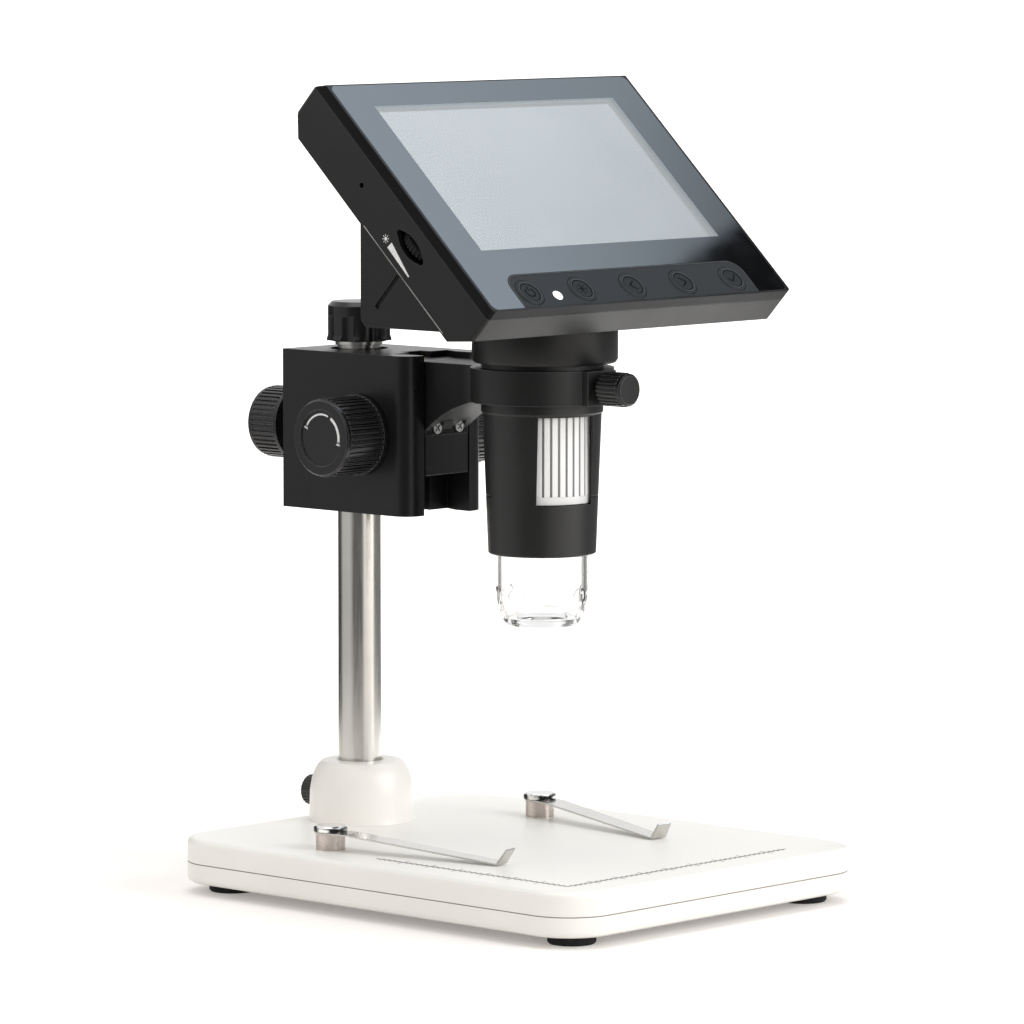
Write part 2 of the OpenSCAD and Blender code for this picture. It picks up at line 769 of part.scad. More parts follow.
module barrel_housing() {
    color("#303031") difference() {
        barrel_cone();
        translate([0, optic_y, 0]) {
            translate([0, 0, barrel_z - cut]) cylinder(h = 4.2 + cut, r = nose_r + shaft_fit);
            translate([0, 0, barrel_z - cut]) cylinder(h = far, r = nose_r - 1.5);
            translate([0, 0, seat_z + 0.8]) cylinder(h = wheel_z - seat_z, r = nose_r);
            translate([0, 0, wheel_z]) cylinder(h = wheel_h + 0.2, r = wheel_r + 0.15);
            translate([0, 0, ring_z + 2.9]) cylinder(h = far, r = barrel_r - 1.8);
            rotate(window_turn) translate([-far / 2, -window_half, wheel_z - 0.1])
                cube([far, 2 * window_half, wheel_h + 0.2]);
            // seam under the pad beside each window
            for (turn = [0, 180]) rotate(turn) translate([0, 0, wheel_z + 1.6]) linear_extrude(0.4)
                difference() {
                    polygon([[0, 0], [5, -30], [30, -12]]);
                    circle(wheel_r + 0.7);
                }
        }
    }
}

module focus_wheel() {
    color("#d4d5d6") translate([0, optic_y, wheel_z + 0.1]) difference() {
        union() {
            cylinder(h = 2.2, r = wheel_r - 0.1);
            translate([0, 0, 2.2]) linear_extrude(wheel_h - 2.4) fluted(wheel_r, 0.5, 40, 0.66);
        }
        translate([0, 0, -cut]) cylinder(h = far, r = wheel_r - 2.8);
    }
}

module lens_carrier() {
    r = wheel_r - 2.8 - shaft_fit;
    color("#1c1c1d") translate([0, optic_y, wheel_z + 4.2]) difference() {
        cylinder(h = 16, r = r);
        translate([0, 0, 3]) cylinder(h = far, r = r - 2);
        translate([0, 0, 1]) cylinder(h = far, r = 6 + part_fit);
        translate([0, 0, -cut]) cylinder(h = far, r = 5.2);
    }
}

module objective_lens() {
    edge = 2;
    bulge = 0.8;
    dome_r = (36 + bulge * bulge) / (2 * bulge);
    color("#cfe3ea") translate([0, optic_y, wheel_z + 5.2]) rotate_extrude()
        polygon(concat([[0, 0], [6, 0]],
            [for (i = [0:6]) let (x = 6 - i)
                [x, edge + bulge - dome_r + sqrt(dome_r * dome_r - x * x)]]));
}

module lamp_board() {
    color("#e9ebe6") translate([0, optic_y, seat_z + 0.8]) difference() {
        cylinder(h = 1.6, r = nose_r - 0.1);
        translate([0, 0, -cut]) cylinder(h = far, r = 6);
    }
}

module lamps() {
    color("#f6f3da") translate([0, optic_y, seat_z + 0.8]) for (a = [0:45:315]) rotate(a)
        translate([9.2, 0, -2.2]) {
            cylinder(h = 2.2, r = 1.5);
            sphere(1.5);
        }
}

module nose_cap() {
    r = nose_r;
    low = barrel_z - nose_len;
    color("#e3e8ea") translate([0, optic_y, 0]) difference() {
        rotate_extrude() polygon([[r, seat_z - 0.2], [r, low + 10], [r - 0.1, low + 8.4],
            [r - 0.4, low + 6.2], [r - 0.9, low + 4], [r - 1.55, low + 2], [r - 2.2, low + 0.8],
            [r - 3.2, low], [7, low], [7, low + 2.2], [r - 2.9, low + 2.2],
            [r - 2.1, low + 4.4], [r - 1.55, low + 6.8], [r - 1.2, low + 9.5],
            [r - 1.2, seat_z - 0.2]]);
        for (a = [9:45:360]) rotate(a) translate([r - 0.55, 0, low + 7.6]) rotate([0, 90, 0])
            cylinder(h = 3, r = 3.1);
    }
}

module sensor_board() {
    color("#2f6b46") translate([0, optic_y, ring_z + 2.9]) {
        cylinder(h = 1.6, r = barrel_r - 2);
        translate([-4, -4, -1.2]) cube([8, 8, 1.2]);
    }
}

// ---- head ----

module slab_body() {
    head_prism(head_w, [[-head_down, -bezel_t], [-head_down, 6.5 - head_t],
        [-head_down + 6.2, -head_t], [head_up - 5.5, -head_t], [head_up, 5.5 - head_t],
        [head_up, -4.2], [head_up - 0.5, -bezel_t]]);
}

// rounds the slab's upright edges
module slab_outline() {
    translate([0, (head_up - head_down) / 2, -head_t - 1]) linear_extrude(head_t + 2)
        rounded_rect(head_w, head_up + head_down, slab_corner);
}

module wedge_body() {
    corner = 3;
    rear = [for (p = arc_pts(rear_y - corner, wedge_z + corner, corner, 0, -90, 6))
        head_pt(p[0], p[1])];
    into = 1 - head_t;
    head_prism(wedge_w, concat([head_pt(rear_y, z_on_plane(rear_y, into))], rear,
        [head_pt(y_on_plane(wedge_z, into), wedge_z)]));
}

module neck_collar() {
    color("#212122") difference() {
        translate([0, optic_y - neck_forward, barrel_top]) {
            cylinder(h = 1, r1 = neck_r - 0.7, r2 = neck_r);
            translate([0, 0, 1]) cylinder(h = wedge_z - barrel_top - 1, r = neck_r);
        }
        translate([0, optic_y - neck_forward, barrel_top + 2]) cylinder(h = far, r = neck_r - 2.5);
        translate([0, optic_y, barrel_top - cut]) cylinder(h = far, r = 8);
        in_head() slab_body();
    }
}

module rear_shell() {
    w = shell_wall;
    in_w = side_x - w;
    color("#252526") difference() {
        union() {
            in_head() {
                difference() {
                    intersection() {
                        slab_body();
                        slab_outline();
                    }
                    head_prism(2 * in_w, [[w - head_down, cut - bezel_t], [w - head_down, 7.3 - head_t],
                        [7.1 - head_down, w - head_t], [head_up - 6.3, w - head_t],
                        [head_up - w, 6.3 - head_t], [head_up - w, cut - bezel_t]]);
                }
                difference() {
                    wedge_body();
                    wedge_cavity();
                }
                at_shell_screws() translate([0, 0, w - head_t - 0.5])
                    cylinder(h = head_t - w - bezel_t + 0.5, r = 2.6);
                at_board_bosses() translate([0, 0, w - head_t - 0.5])
                    cylinder(h = board_n + head_t - w + 0.5, r = 2.5);
            }
            battery_cradle();
        }
        in_head() {
            // passage for the battery's wires
            head_box([-25, -24, -head_t - cut], [25, -10, w - head_t + cut]);
            at_shell_screws() {
                translate([0, 0, -head_t - cut]) cylinder(h = far, r = screw_r + screw_fit);
                translate([0, 0, -head_t - cut]) cylinder(h = 1.5 + cut, r = 2.3);
            }
            // lamp dial's opening and reset pinhole on the left side
            dial_opening(in_w);
            rod_x(0.8, reset_row, reset_n, -far, -in_w + cut);
            // sockets on the right side
            head_box([in_w - cut, 4.1, board_n - 3.1], [far, 11.9, board_n + 0.2]);
            head_box([in_w - cut, -16, board_n - 1.7], [far, -3, board_n - 0.2]);
            // finger grooves on both sides of the wedge
            for (s = [-1, 1]) translate([s * wedge_w / 2, -12, -31])
                cube([1.6, 1.6, 12.3], center = true);
        }
        translate([0, optic_y, wedge_z - cut]) cylinder(h = w + 2 * cut, r = 8);
    }
}

module wedge_cavity() {
    w = shell_wall;
    head_prism(wedge_w - 2 * w, [
        head_pt(rear_y - w, z_on_plane(rear_y - w, -head_t)),
        head_pt(rear_y - w, wedge_z + w),
        head_pt(y_on_plane(wedge_z + w, -head_t), wedge_z + w)]);
}

battery_r = 9.1;
battery_y = rear_y - shell_wall - 0.3 - battery_r;
battery_z = wedge_z + shell_wall + 0.3 + battery_r;

module battery_cradle() {
    difference() {
        for (x = [-22, 20]) translate([x, battery_y - 7, wedge_z + shell_wall - 0.5])
            cube([2, battery_r + 8.5, 6]);
        rod_x(battery_r + 0.1, battery_y, battery_z, -50, 50);
    }
}

module battery_cell() {
    color("#3b6ea5") rod_x(battery_r, battery_y, battery_z, -32.5, 32.5);
}

// oval opening over the lamp dial: two wide arcs, closed by a small one at each end
module dial_opening(in_w) {
    arc_r = (slot_long * slot_long + slot_wide * slot_wide) / (2 * slot_wide);
    arc_n = arc_r - slot_wide;
    end_at = 0.8 * slot_long;
    end_r = sqrt(arc_r * arc_r - end_at * end_at) - arc_n;
    intersection() {
        head_box([-far, dial_row - end_at, -far], [cut - in_w, dial_row + end_at, 0]);
        rod_x(arc_r, dial_row, dial_mid - arc_n, -far, cut - in_w);
        rod_x(arc_r, dial_row, dial_mid + arc_n, -far, cut - in_w);
    }
    for (s = [-1, 1]) rod_x(end_r, dial_row + s * end_at, dial_mid, -far, cut - in_w);
}

module front_bezel() {
    color("#151516") in_head() difference() {
        intersection() {
            head_prism(head_w, [[-head_down, -bezel_t], [head_up - 0.5, -bezel_t],
                [head_up - 1.5, -2], [head_up - 2.4, -1], [head_up - 3.2, 0], [-head_down, 0]]);
            slab_outline();
        }
        translate([0, (glass_low + glass_high) / 2, -glass_t]) linear_extrude(far)
            rounded_rect(2 * glass_half + 0.1, glass_high - glass_low + 0.1, 2);
        head_box([-lcd_half - 0.25, -lcd_half_h - 0.3, -far], [lcd_half + 0.25, lcd_half_h + 0.3, far]);
        at_keys() translate([0, 0, -bezel_t - cut]) cylinder(h = far, r = key_r + 0.25);
        status_lamp_at() translate([0, 0, -bezel_t - cut]) cylinder(h = far, r = 1.15);
        at_shell_screws() translate([0, 0, -bezel_t - cut]) cylinder(h = 1.4 + cut, r = screw_r + screw_fit);
    }
}

module status_lamp_at() {
    translate([-31.7, -44.5, 0]) children();
}

// keypad's outline: rounded towards the display, square at the rim
module panel_outline(grow, low) {
    half = panel_half + grow;
    high = panel_high + grow;
    r = panel_round + grow;
    translate([-half, low]) square([2 * half, high - r - low]);
    translate([r - half, low]) square([2 * (half - r), high - low]);
    for (s = [-1, 1]) translate([s * (half - r), high - r]) circle(r);
}

module screen_glass() {
    color("#4a4e54") in_head() difference() {
        translate([0, (glass_low + glass_high) / 2, -glass_t]) linear_extrude(glass_t)
            rounded_rect(2 * glass_half, glass_high - glass_low, 2);
        translate([0, 0, -far / 2]) linear_extrude(far) panel_outline(0.1, glass_low - 1);
    }
}

module lcd_module() {
    color("#a9adb0") in_head() difference() {
        head_box([-lcd_half, -lcd_half_h, -glass_t - 3], [lcd_half, lcd_half_h, -glass_t]);
        head_box([-screen_w / 2 - 0.1, -screen_h / 2 - 0.1, -glass_t - 0.25],
            [screen_w / 2 + 0.1, screen_h / 2 + 0.1, 0]);
    }
}

module lcd_cell() {
    color("#c3ccd0") in_head() head_box([-screen_w / 2, -screen_h / 2, -glass_t - 0.25],
        [screen_w / 2, screen_h / 2, -glass_t - 0.05]);
}

module keypad_panel() {
    color("#434446") in_head() difference() {
        translate([0, 0, -glass_t]) linear_extrude(glass_t) panel_outline(0, glass_low);
        at_keys() translate([0, 0, -far / 2]) cylinder(h = far, r = key_r + 0.15);
        status_lamp_at() translate([0, 0, -far / 2]) cylinder(h = far, r = 1.15);
    }
}

module key_board() {
    top = -key_depth - 1.3;
    post_x = panel_half - 0.5;
    color("#2f6b46") in_head() {
        difference() {
            head_box([-panel_half - 1, key_row - 3.4, top - 1], [panel_half + 1, key_row + 5.9, top]);
            for (x = [-post_x, post_x]) translate([x, key_row, -far]) cylinder(h = far, r = 0.6);
        }
        at_keys() translate([0, 0, top]) difference() {
            cylinder(h = 0.75, r = 2.2);
            translate([0, 0, -cut]) cylinder(h = 2, r = key_stem_r + 0.1);
        }
        for (x = [-post_x, post_x]) translate([x, key_row, top]) difference() {
            cylinder(h = -bezel_t - top, r = 1.4);
            translate([0, 0, -cut]) cylinder(h = far, r = 0.6);
        }
    }
}

module key(i) {
    color("#3d3e40") in_head() translate([key_mid + i * key_pitch, key_row, -key_depth]) {
        translate([0, 0, -0.7]) cylinder(h = 1, r = key_stem_r);
        cylinder(h = key_depth + key_top - 0.2, r = key_r);
        translate([0, 0, key_depth + key_top - 0.2]) cylinder(h = 0.2, r1 = key_r, r2 = key_r - 0.2);
    }
}

module key_power() {
    key(-2);
}

module key_lamp() {
    key(-1);
}

module key_left() {
    key(0);
}

module key_right() {
    key(1);
}

module key_ok() {
    key(2);
}

module status_lamp() {
    color("#f4f4f4") in_head() status_lamp_at() translate([0, 0, -2.2]) cylinder(h = 2.3, r = 1.1);
}

module main_board() {
    color("#2f6b46") in_head() {
        difference() {
            head_box([-board_half, -board_half_h, board_n], [board_half, board_half_h, board_n + board_t]);
            at_board_bosses() translate([0, 0, -far / 2]) cylinder(h = far, r = 1.2);
        }
        translate([dial_x, dial_row, dial_n]) cylinder(h = board_n - dial_n, r = 1.45);
    }
}

module lamp_dial() {
    color("#3c3c3d") in_head() translate([dial_x, dial_row, dial_n]) difference() {
        linear_extrude(dial_t) fluted(dial_r, 0.35, 40);
        translate([0, 0, -cut]) cylinder(h = far, r = 1.45 + shaft_fit);
    }
}

module reset_switch() {
    color("#1a1a1b") in_head() difference() {
        head_box([3.6 - side_x, reset_row - 3, board_n - 3.8], [9.8 - side_x, reset_row + 3, board_n]);
        rod_x(0.75, reset_row, reset_n, -far, 5.8 - side_x);
    }
}

module reset_button() {
    color("#6a6b6c") in_head() rod_x(0.7, reset_row, reset_n, 2.5 - side_x, 5.3 - side_x);
}

module usb_socket() {
    color("#c8cacc") in_head() difference() {
        head_box([side_x - 10.8, 4.3, board_n - 2.9], [side_x - 0.5, 11.7, board_n]);
        head_box([side_x - 8.8, 4.7, board_n - 2.5], [far, 11.3, board_n - 0.4]);
    }
}

module card_socket() {
    color("#c8cacc") in_head() difference() {
        head_box([side_x - 15.8, -16.6, board_n - 1.9], [side_x - 2.2, -2.4, board_n]);
        head_box([side_x - 13.8, -15.6, board_n - 1.6], [far, -3.4, board_n - 0.3]);
    }
}

module shell_screws() {
    color("#8c9094") in_head() at_shell_screws() {
        difference() {
            translate([0, 0, 0.2 - head_t]) cylinder(h = 1.3, r = 2.2);
            for (a = [0, 90]) rotate(a) translate([-1.3, -0.25, -head_t]) cube([2.6, 0.5, 0.8]);
        }
        translate([0, 0, 1.4 - head_t]) cylinder(h = head_t - 1.4 - bezel_t + 1.2, r = screw_r);
    }
}

base_top_cover();
base_bottom_cover();
base_weight();
rubber_feet();
base_screws();
column_socket();
socket_lock_stud();
socket_lock_knob();
clip_posts();
clip_caps();
clip_blade_left();
clip_blade_right();
column();
column_collar();
column_cap();
column_bush();
carriage_block();
clamp_stud();
clamp_knob();
clamp_shoe();
pinion_shaft();
pinion_gear();
focus_knob_left();
focus_knob_right();
focus_slider();
rack();
scope_arm();
arm_screws();
ring_lock_stud();
ring_lock_knob();
barrel_housing();
focus_wheel();
lens_carrier();
objective_lens();
lamp_board();
lamps();
nose_cap();
sensor_board();
neck_collar();
rear_shell();
front_bezel();
screen_glass();
lcd_module();
lcd_cell();
keypad_panel();
key_board();
key_power();
key_lamp();
key_left();
key_right();
key_ok();
status_lamp();
main_board();
battery_cell();
lamp_dial();
reset_button();
reset_switch();
usb_socket();
card_socket();
shell_screws();
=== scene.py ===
import json
import math

import bmesh
import bpy
from mathutils import Matrix, Vector


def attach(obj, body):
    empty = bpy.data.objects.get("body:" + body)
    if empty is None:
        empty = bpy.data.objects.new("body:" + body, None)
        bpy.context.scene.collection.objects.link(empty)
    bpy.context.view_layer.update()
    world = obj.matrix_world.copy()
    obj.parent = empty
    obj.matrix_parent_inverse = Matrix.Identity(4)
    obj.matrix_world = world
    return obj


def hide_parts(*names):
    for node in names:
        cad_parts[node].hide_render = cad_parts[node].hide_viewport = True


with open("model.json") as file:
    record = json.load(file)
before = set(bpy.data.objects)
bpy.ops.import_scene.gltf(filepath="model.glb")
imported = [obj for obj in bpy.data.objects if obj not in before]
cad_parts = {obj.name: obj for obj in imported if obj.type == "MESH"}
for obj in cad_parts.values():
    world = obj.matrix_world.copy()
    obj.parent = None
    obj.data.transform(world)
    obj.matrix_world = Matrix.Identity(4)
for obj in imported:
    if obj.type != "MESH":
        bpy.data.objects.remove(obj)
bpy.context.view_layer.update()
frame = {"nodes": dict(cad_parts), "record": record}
nodes = frame["nodes"]
record = frame["record"]
bodyOf = {node: body for body, names in record["behaviour"]["bodies"].items() for node in names}
slotOf = {part["node"]: part["material_slot"] for part in record["subparts"]}
mm = 0.001
# middle of the glass in millimetres and its tilt in degrees
headPlace = {"middle": (0, -21.35, 199.55), "tilt": 43.4}
print("frame loaded,", len(nodes), "nodes")


# stretches of a noise value that a finish spreads over its whole range
noiseSpan = (0.3, 0.7)
noiseMiddle = (0.35, 0.65)


def newMaterial(name):
    mat = bpy.data.materials.new(name)
    mat.use_nodes = True
    tree = mat.node_tree
    return mat, tree, tree.nodes["Principled BSDF"]


def objectCoords(tree, stretch=None):
    coords = tree.nodes.new("ShaderNodeTexCoord")
    if stretch is None:
        return coords.outputs["Object"]
    mapping = tree.nodes.new("ShaderNodeMapping")
    mapping.inputs["Scale"].default_value = stretch
    tree.links.new(coords.outputs["Object"], mapping.inputs["Vector"])
    return mapping.outputs["Vector"]


def splitCoords(tree, vector):
    split = tree.nodes.new("ShaderNodeSeparateXYZ")
    tree.links.new(vector, split.inputs[0])
    return split.outputs["X"], split.outputs["Y"], split.outputs["Z"]


def addNoise(tree, vector, scale, detail=3.0, roughness=0.55):
    noise = tree.nodes.new("ShaderNodeTexNoise")
    noise.inputs["Scale"].default_value = scale
    noise.inputs["Detail"].default_value = detail
    noise.inputs["Roughness"].default_value = roughness
    tree.links.new(vector, noise.inputs["Vector"])
    return noise.outputs["Fac"]


def addRange(tree, value, fromLow, fromHigh, toLow=0.0, toHigh=1.0):
    node = tree.nodes.new("ShaderNodeMapRange")
    tree.links.new(value, node.inputs["Value"])
    for key, number in (("From Min", fromLow), ("From Max", fromHigh), ("To Min", toLow), ("To Max", toHigh)):
        node.inputs[key].default_value = number
    return node.outputs["Result"]


def addMath(tree, operation, first, second=0.0):
    node = tree.nodes.new("ShaderNodeMath")
    node.operation = operation
    for socket, value in zip(node.inputs, (first, second)):
        if isinstance(value, (int, float)):
            socket.default_value = value
        else:
            tree.links.new(value, socket)
    return node.outputs["Value"]


def addReach(tree, x, y):
    # how far a point lies from an upright axis
    return addMath(tree, "SQRT", addMath(tree, "ADD", addMath(tree, "MULTIPLY", x, x),
                                         addMath(tree, "MULTIPLY", y, y)))


def addMix(tree, factor, first, second):
    node = tree.nodes.new("ShaderNodeMix")
    node.data_type = "RGBA"
    for index, value in ((0, factor), (6, first), (7, second)):
        socket = node.inputs[index]
        if isinstance(value, (int, float)):
            socket.default_value = value
        elif isinstance(value, (tuple, list)):
            socket.default_value = (*value[:3], 1.0)
        else:
            tree.links.new(value, socket)
    return node.outputs[2]


def addRamp(tree, factor, stretches):
    # colour ramp through pairs of a position and a colour with its cover
    ramp = tree.nodes.new("ShaderNodeValToRGB")
    stops = ramp.color_ramp.elements
    for index, (position, colour) in enumerate(stretches):
        stop = stops[index] if index < 2 else stops.new(position)
        stop.position = position
        stop.color = colour
    tree.links.new(factor, ramp.inputs["Fac"])
    return ramp


def addBump(tree, height, strength, distance, normal=None):
    bump = tree.nodes.new("ShaderNodeBump")
    bump.inputs["Strength"].default_value = strength
    bump.inputs["Distance"].default_value = distance
    tree.links.new(height, bump.inputs["Height"])
    if normal is not None:
        tree.links.new(normal, bump.inputs["Normal"])
    return bump.outputs["Normal"]


def edgeMask(tree, radius):
    # 0 on flat faces, 1 along edges: how far the rounded normal leaves the true one
    mask = {"samples": 4, "flat": 0.995, "sharp": 0.86}
    bevel = tree.nodes.new("ShaderNodeBevel")
    bevel.samples = mask["samples"]
    bevel.inputs["Radius"].default_value = radius
    geometry = tree.nodes.new("ShaderNodeNewGeometry")
    dot = tree.nodes.new("ShaderNodeVectorMath")
    dot.operation = "DOT_PRODUCT"
    tree.links.new(bevel.outputs["Normal"], dot.inputs[0])
    tree.links.new(geometry.outputs["Normal"], dot.inputs[1])
    return addRange(tree, dot.outputs["Value"], mask["flat"], mask["sharp"]), bevel.outputs["Normal"]


def shade(colour, factor):
    return tuple(min(1.0, c * factor) for c in colour)


# what every moulded finish has unless its own row says otherwise
plasticLook = {"cloud": 45, "spread": 0.07, "edge": 0.00035, "edgeWearAndHighlight": 0.25, "edgeWearAndHighlightShade": 1.8, "specular": 0.5,
               "coat": 0.0, "coatRough": 0.12, "roughSpread": 0.04, "grainDepth": 0.00006,
               "grooveShade": 0.12, "seamTone": (0.20, 0.15, 0.11), "seamCore": 0.6}


def mouldedPlastic(name, ownLook):
    look = {**plasticLook, **ownLook}
    colour = look["colour"]
    mat, tree, shader = newMaterial(name)
    coords = objectCoords(tree)
    cloud = addNoise(tree, coords, look["cloud"], detail=4)
    grain = addNoise(tree, coords, look["grain"], detail=2, roughness=0.6)
    base = addMix(tree, addRange(tree, cloud, *noiseMiddle),
                  shade(colour, 1 - look["spread"]), shade(colour, 1 + look["spread"]))
    edge, rounded = edgeMask(tree, look["edge"])
    # edges lighter: partly wear, partly a painted highlight along the edges
    wornAndLitEdge = addMath(tree, "MULTIPLY", edge, look["edgeWearAndHighlight"])
    tone = addMix(tree, wornAndLitEdge, base, look.get("edgeWearAndHighlightColour", shade(colour, look["edgeWearAndHighlightShade"])))
    if "grooves" in look:
        # painted shade in the flutes, by distance from the turning axis
        axisY, rim, depth = look["grooves"]
        x, y, z = splitCoords(tree, coords)
        away = addReach(tree, x, addMath(tree, "SUBTRACT", y, axisY))
        tone = addMix(tree, addRange(tree, away, rim - depth, rim), shade(colour, look["grooveShade"]), tone)
    if "seam" in look:
        # shadow line where two covers meet
        height, half = look["seam"]
        x, y, z = splitCoords(tree, coords)
        offset = addMath(tree, "ABSOLUTE", addMath(tree, "SUBTRACT", z, height))
        line = addRange(tree, offset, half * look["seamCore"], half, 1, 0)
        tone = addMix(tree, line, tone, look["seamTone"])
    tree.links.new(tone, shader.inputs["Base Color"])
    tree.links.new(addRange(tree, cloud, *noiseSpan, look["rough"] - look["roughSpread"],
                            look["rough"] + look["roughSpread"]), shader.inputs["Roughness"])
    tree.links.new(addBump(tree, grain, look["bump"], look["grainDepth"], rounded), shader.inputs["Normal"])
    shader.inputs["Specular IOR Level"].default_value = look["specular"]
    if "calm" in look:
        # less gloss towards the back of the piece
        nearY, farY, level = look["calm"]
        x, y, z = splitCoords(tree, coords)
        gloss = addRange(tree, y, nearY, farY, look["specular"], level)
        tree.links.new(gloss, shader.inputs["Specular IOR Level"])
    shader.inputs["Coat Weight"].default_value = look["coat"]
    shader.inputs["Coat Roughness"].default_value = look["coatRough"]
    return mat


# the same for metals; the painted reflection is a list of pairs of how far a wall faces along the way set in
# the look, -1 to 1, and its level, and it fades out where a face tilts up or down by the two values of
# wallTilt
metalLook = {"stretch": (1, 1, 1), "edge": 0.0002, "cloud": 60, "darker": 0.94, "lighter": 1.04,
             "smooth": 0.8, "coarse": 1.3, "grainDepth": 0.00002, "reflectionBandsAlong": (0.68, -0.73),
             "reflectionBandWarmth": 0.97, "wallTilt": (0.3, 0.7)}


def turnedMetal(name, ownLook):
    look = {**metalLook, **ownLook}
    mat, tree, shader = newMaterial(name)
    lines = addNoise(tree, objectCoords(tree, look["stretch"]), look["grain"], detail=3, roughness=0.65)
    cloud = addNoise(tree, objectCoords(tree), look["cloud"], detail=4)
    tint = addMix(tree, addRange(tree, cloud, *noiseSpan),
                  shade(look["colour"], look["darker"]), shade(look["colour"], look["lighter"]))
    edge, rounded = edgeMask(tree, look["edge"])
    if "reflectionBands" in look:
        # painted reflection: dark and bright stretches round an upright wall, by the way it faces
        geometry = tree.nodes.new("ShaderNodeNewGeometry")
        faceX, faceY, faceZ = splitCoords(tree, geometry.outputs["Normal"])
        alongX, alongY = look["reflectionBandsAlong"]
        facing = addMath(tree, "ADD", addMath(tree, "MULTIPLY", faceX, alongX),
                         addMath(tree, "MULTIPLY", faceY, alongY))
        stretches = [((place + 1) / 2, (level, level, level * look["reflectionBandWarmth"], 1))
                     for place, level in look["reflectionBands"]]
        ramp = addRamp(tree, addRange(tree, facing, -1, 1), stretches)
        wall = addRange(tree, addMath(tree, "ABSOLUTE", faceZ), *look["wallTilt"], 1, 0)
        tint = addMix(tree, wall, tint, ramp.outputs["Color"])
    # painted shade and painted dark reflection: the edges darkened to the rim colour
    if "rim" in look:
        tint = addMix(tree, edge, tint, look["rim"])
    tree.links.new(tint, shader.inputs["Base Color"])
    shader.inputs["Metallic"].default_value = 1.0
    tree.links.new(addRange(tree, lines, *noiseSpan, look["rough"] * look["smooth"],
                            look["rough"] * look["coarse"]), shader.inputs["Roughness"])
    tree.links.new(addBump(tree, lines, look["bump"], look["grainDepth"], rounded), shader.inputs["Normal"])
    return mat


def clearPlastic(name, look):
    flow = {"scale": 90, "roughSpread": 0.03, "bump": 0.08, "depth": 0.0002}
    mat, tree, shader = newMaterial(name)
    waves = addNoise(tree, objectCoords(tree), flow["scale"], detail=2)
    shader.inputs["Base Color"].default_value = (*look["colour"], 1)
    shader.inputs["Transmission Weight"].default_value = 1.0
    shader.inputs["IOR"].default_value = look["ior"]
    tree.links.new(addRange(tree, waves, *noiseSpan, look["rough"], look["rough"] + flow["roughSpread"]),
                   shader.inputs["Roughness"])
    tree.links.new(addBump(tree, waves, flow["bump"], flow["depth"]), shader.inputs["Normal"])
    return mat


def circuitBoard(name, look):
    mat, tree, shader = newMaterial(name)
    cells = tree.nodes.new("ShaderNodeTexBrick")
    cells.inputs["Scale"].default_value = look["scale"]
    cells.inputs["Mortar Size"].default_value = look["track"]
    tree.links.new(objectCoords(tree), cells.inputs["Vector"])
    tracks = cells.outputs["Fac"]
    tree.links.new(addMix(tree, tracks, look["colour"], shade(look["colour"], look["trackShade"])),
                   shader.inputs["Base Color"])
    shader.inputs["Roughness"].default_value = look["rough"]
    shader.inputs["Coat Weight"].default_value = look["coat"]
    tree.links.new(addBump(tree, tracks, look["bump"], look["depth"]), shader.inputs["Normal"])
    return mat


def finishMesh(name, bm, material, body, sharpAngle=35.0):
    bmesh.ops.recalc_face_normals(bm, faces=bm.faces[:])
    for face in bm.faces:
        face.smooth = True
    for edge in bm.edges:
        if len(edge.link_faces) == 2 and edge.calc_face_angle(0) > math.radians(sharpAngle):
            edge.smooth = False
    mesh = bpy.data.meshes.new(name)
    bm.to_mesh(mesh)
    bm.free()
    mesh.materials.append(material)
    piece = bpy.data.objects.new(name, mesh)
    bpy.context.scene.collection.objects.link(piece)
    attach(piece, body)
    return piece


def eased(nodeName, pieceName, material, width, segments):
    # the node's own solid with its sharp edges eased; angles in degrees
    ease = {"sharpAngle": 38.0, "flatAngle": 0.4, "mergeWithin": 2e-6}
    bm = bmesh.new()
    bm.from_mesh(nodes[nodeName].data)
    bmesh.ops.remove_doubles(bm, verts=bm.verts[:], dist=ease["mergeWithin"])
    bmesh.ops.dissolve_limit(bm, angle_limit=math.radians(ease["flatAngle"]), verts=bm.verts[:],
                             edges=bm.edges[:])
    piece = finishMesh(pieceName, bm, material, bodyOf[nodeName], ease["sharpAngle"])
    bevel = piece.modifiers.new("ease", "BEVEL")
    bevel.width = width
    bevel.segments = segments
    bevel.limit_method = "ANGLE"
    bevel.angle_limit = math.radians(ease["sharpAngle"])
    bevel.harden_normals = True
    bevel.use_clamp_overlap = True
    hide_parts(nodeName)


def paint(nodeName, material):
    for materialSlot in nodes[nodeName].material_slots:
        materialSlot.material = material


def headMatrix():
    # the head's own frame: x across, y up the screen, z out of the glass
    return (Matrix.Translation(Vector(headPlace["middle"]) * mm)
            @ Matrix.Rotation(math.radians(headPlace["tilt"]), 4, "X"))


def headSide(wall):
    # drawing x runs up the screen, drawing y away from the glass, and the print faces left
    return headMatrix() @ Matrix(((0, 0, -1, wall * mm), (1, 0, 0, 0), (0, -1, 0, 0), (0, 0, 0, 1)))


def turned(radius, angle):
    return radius * math.cos(math.radians(angle)), radius * math.sin(math.radians(angle))


def drawDisc(bm, x, y, radius, steps):
    bmesh.ops.create_circle(bm, cap_ends=True, radius=radius, segments=steps,
                            matrix=Matrix.Translation((x, y, 0)))


def drawBar(bm, start, end, width, endWidth=None):
    # straight stroke, tapering when it has a second width
    run = Vector(end) - Vector(start)
    place = (Matrix.Translation((*((Vector(start) + Vector(end)) / 2), 0))
             @ Matrix.Rotation(math.atan2(run.y, run.x), 4, "Z") @ Matrix.Diagonal((run.length, width, 1, 1)))
    made = bmesh.ops.create_grid(bm, x_segments=1, y_segments=1, size=0.5)["verts"]
    if endWidth is not None:
        for vert in made:
            if vert.co.x > 0:
                vert.co.y *= endWidth / width
    bmesh.ops.transform(bm, matrix=place, verts=made)


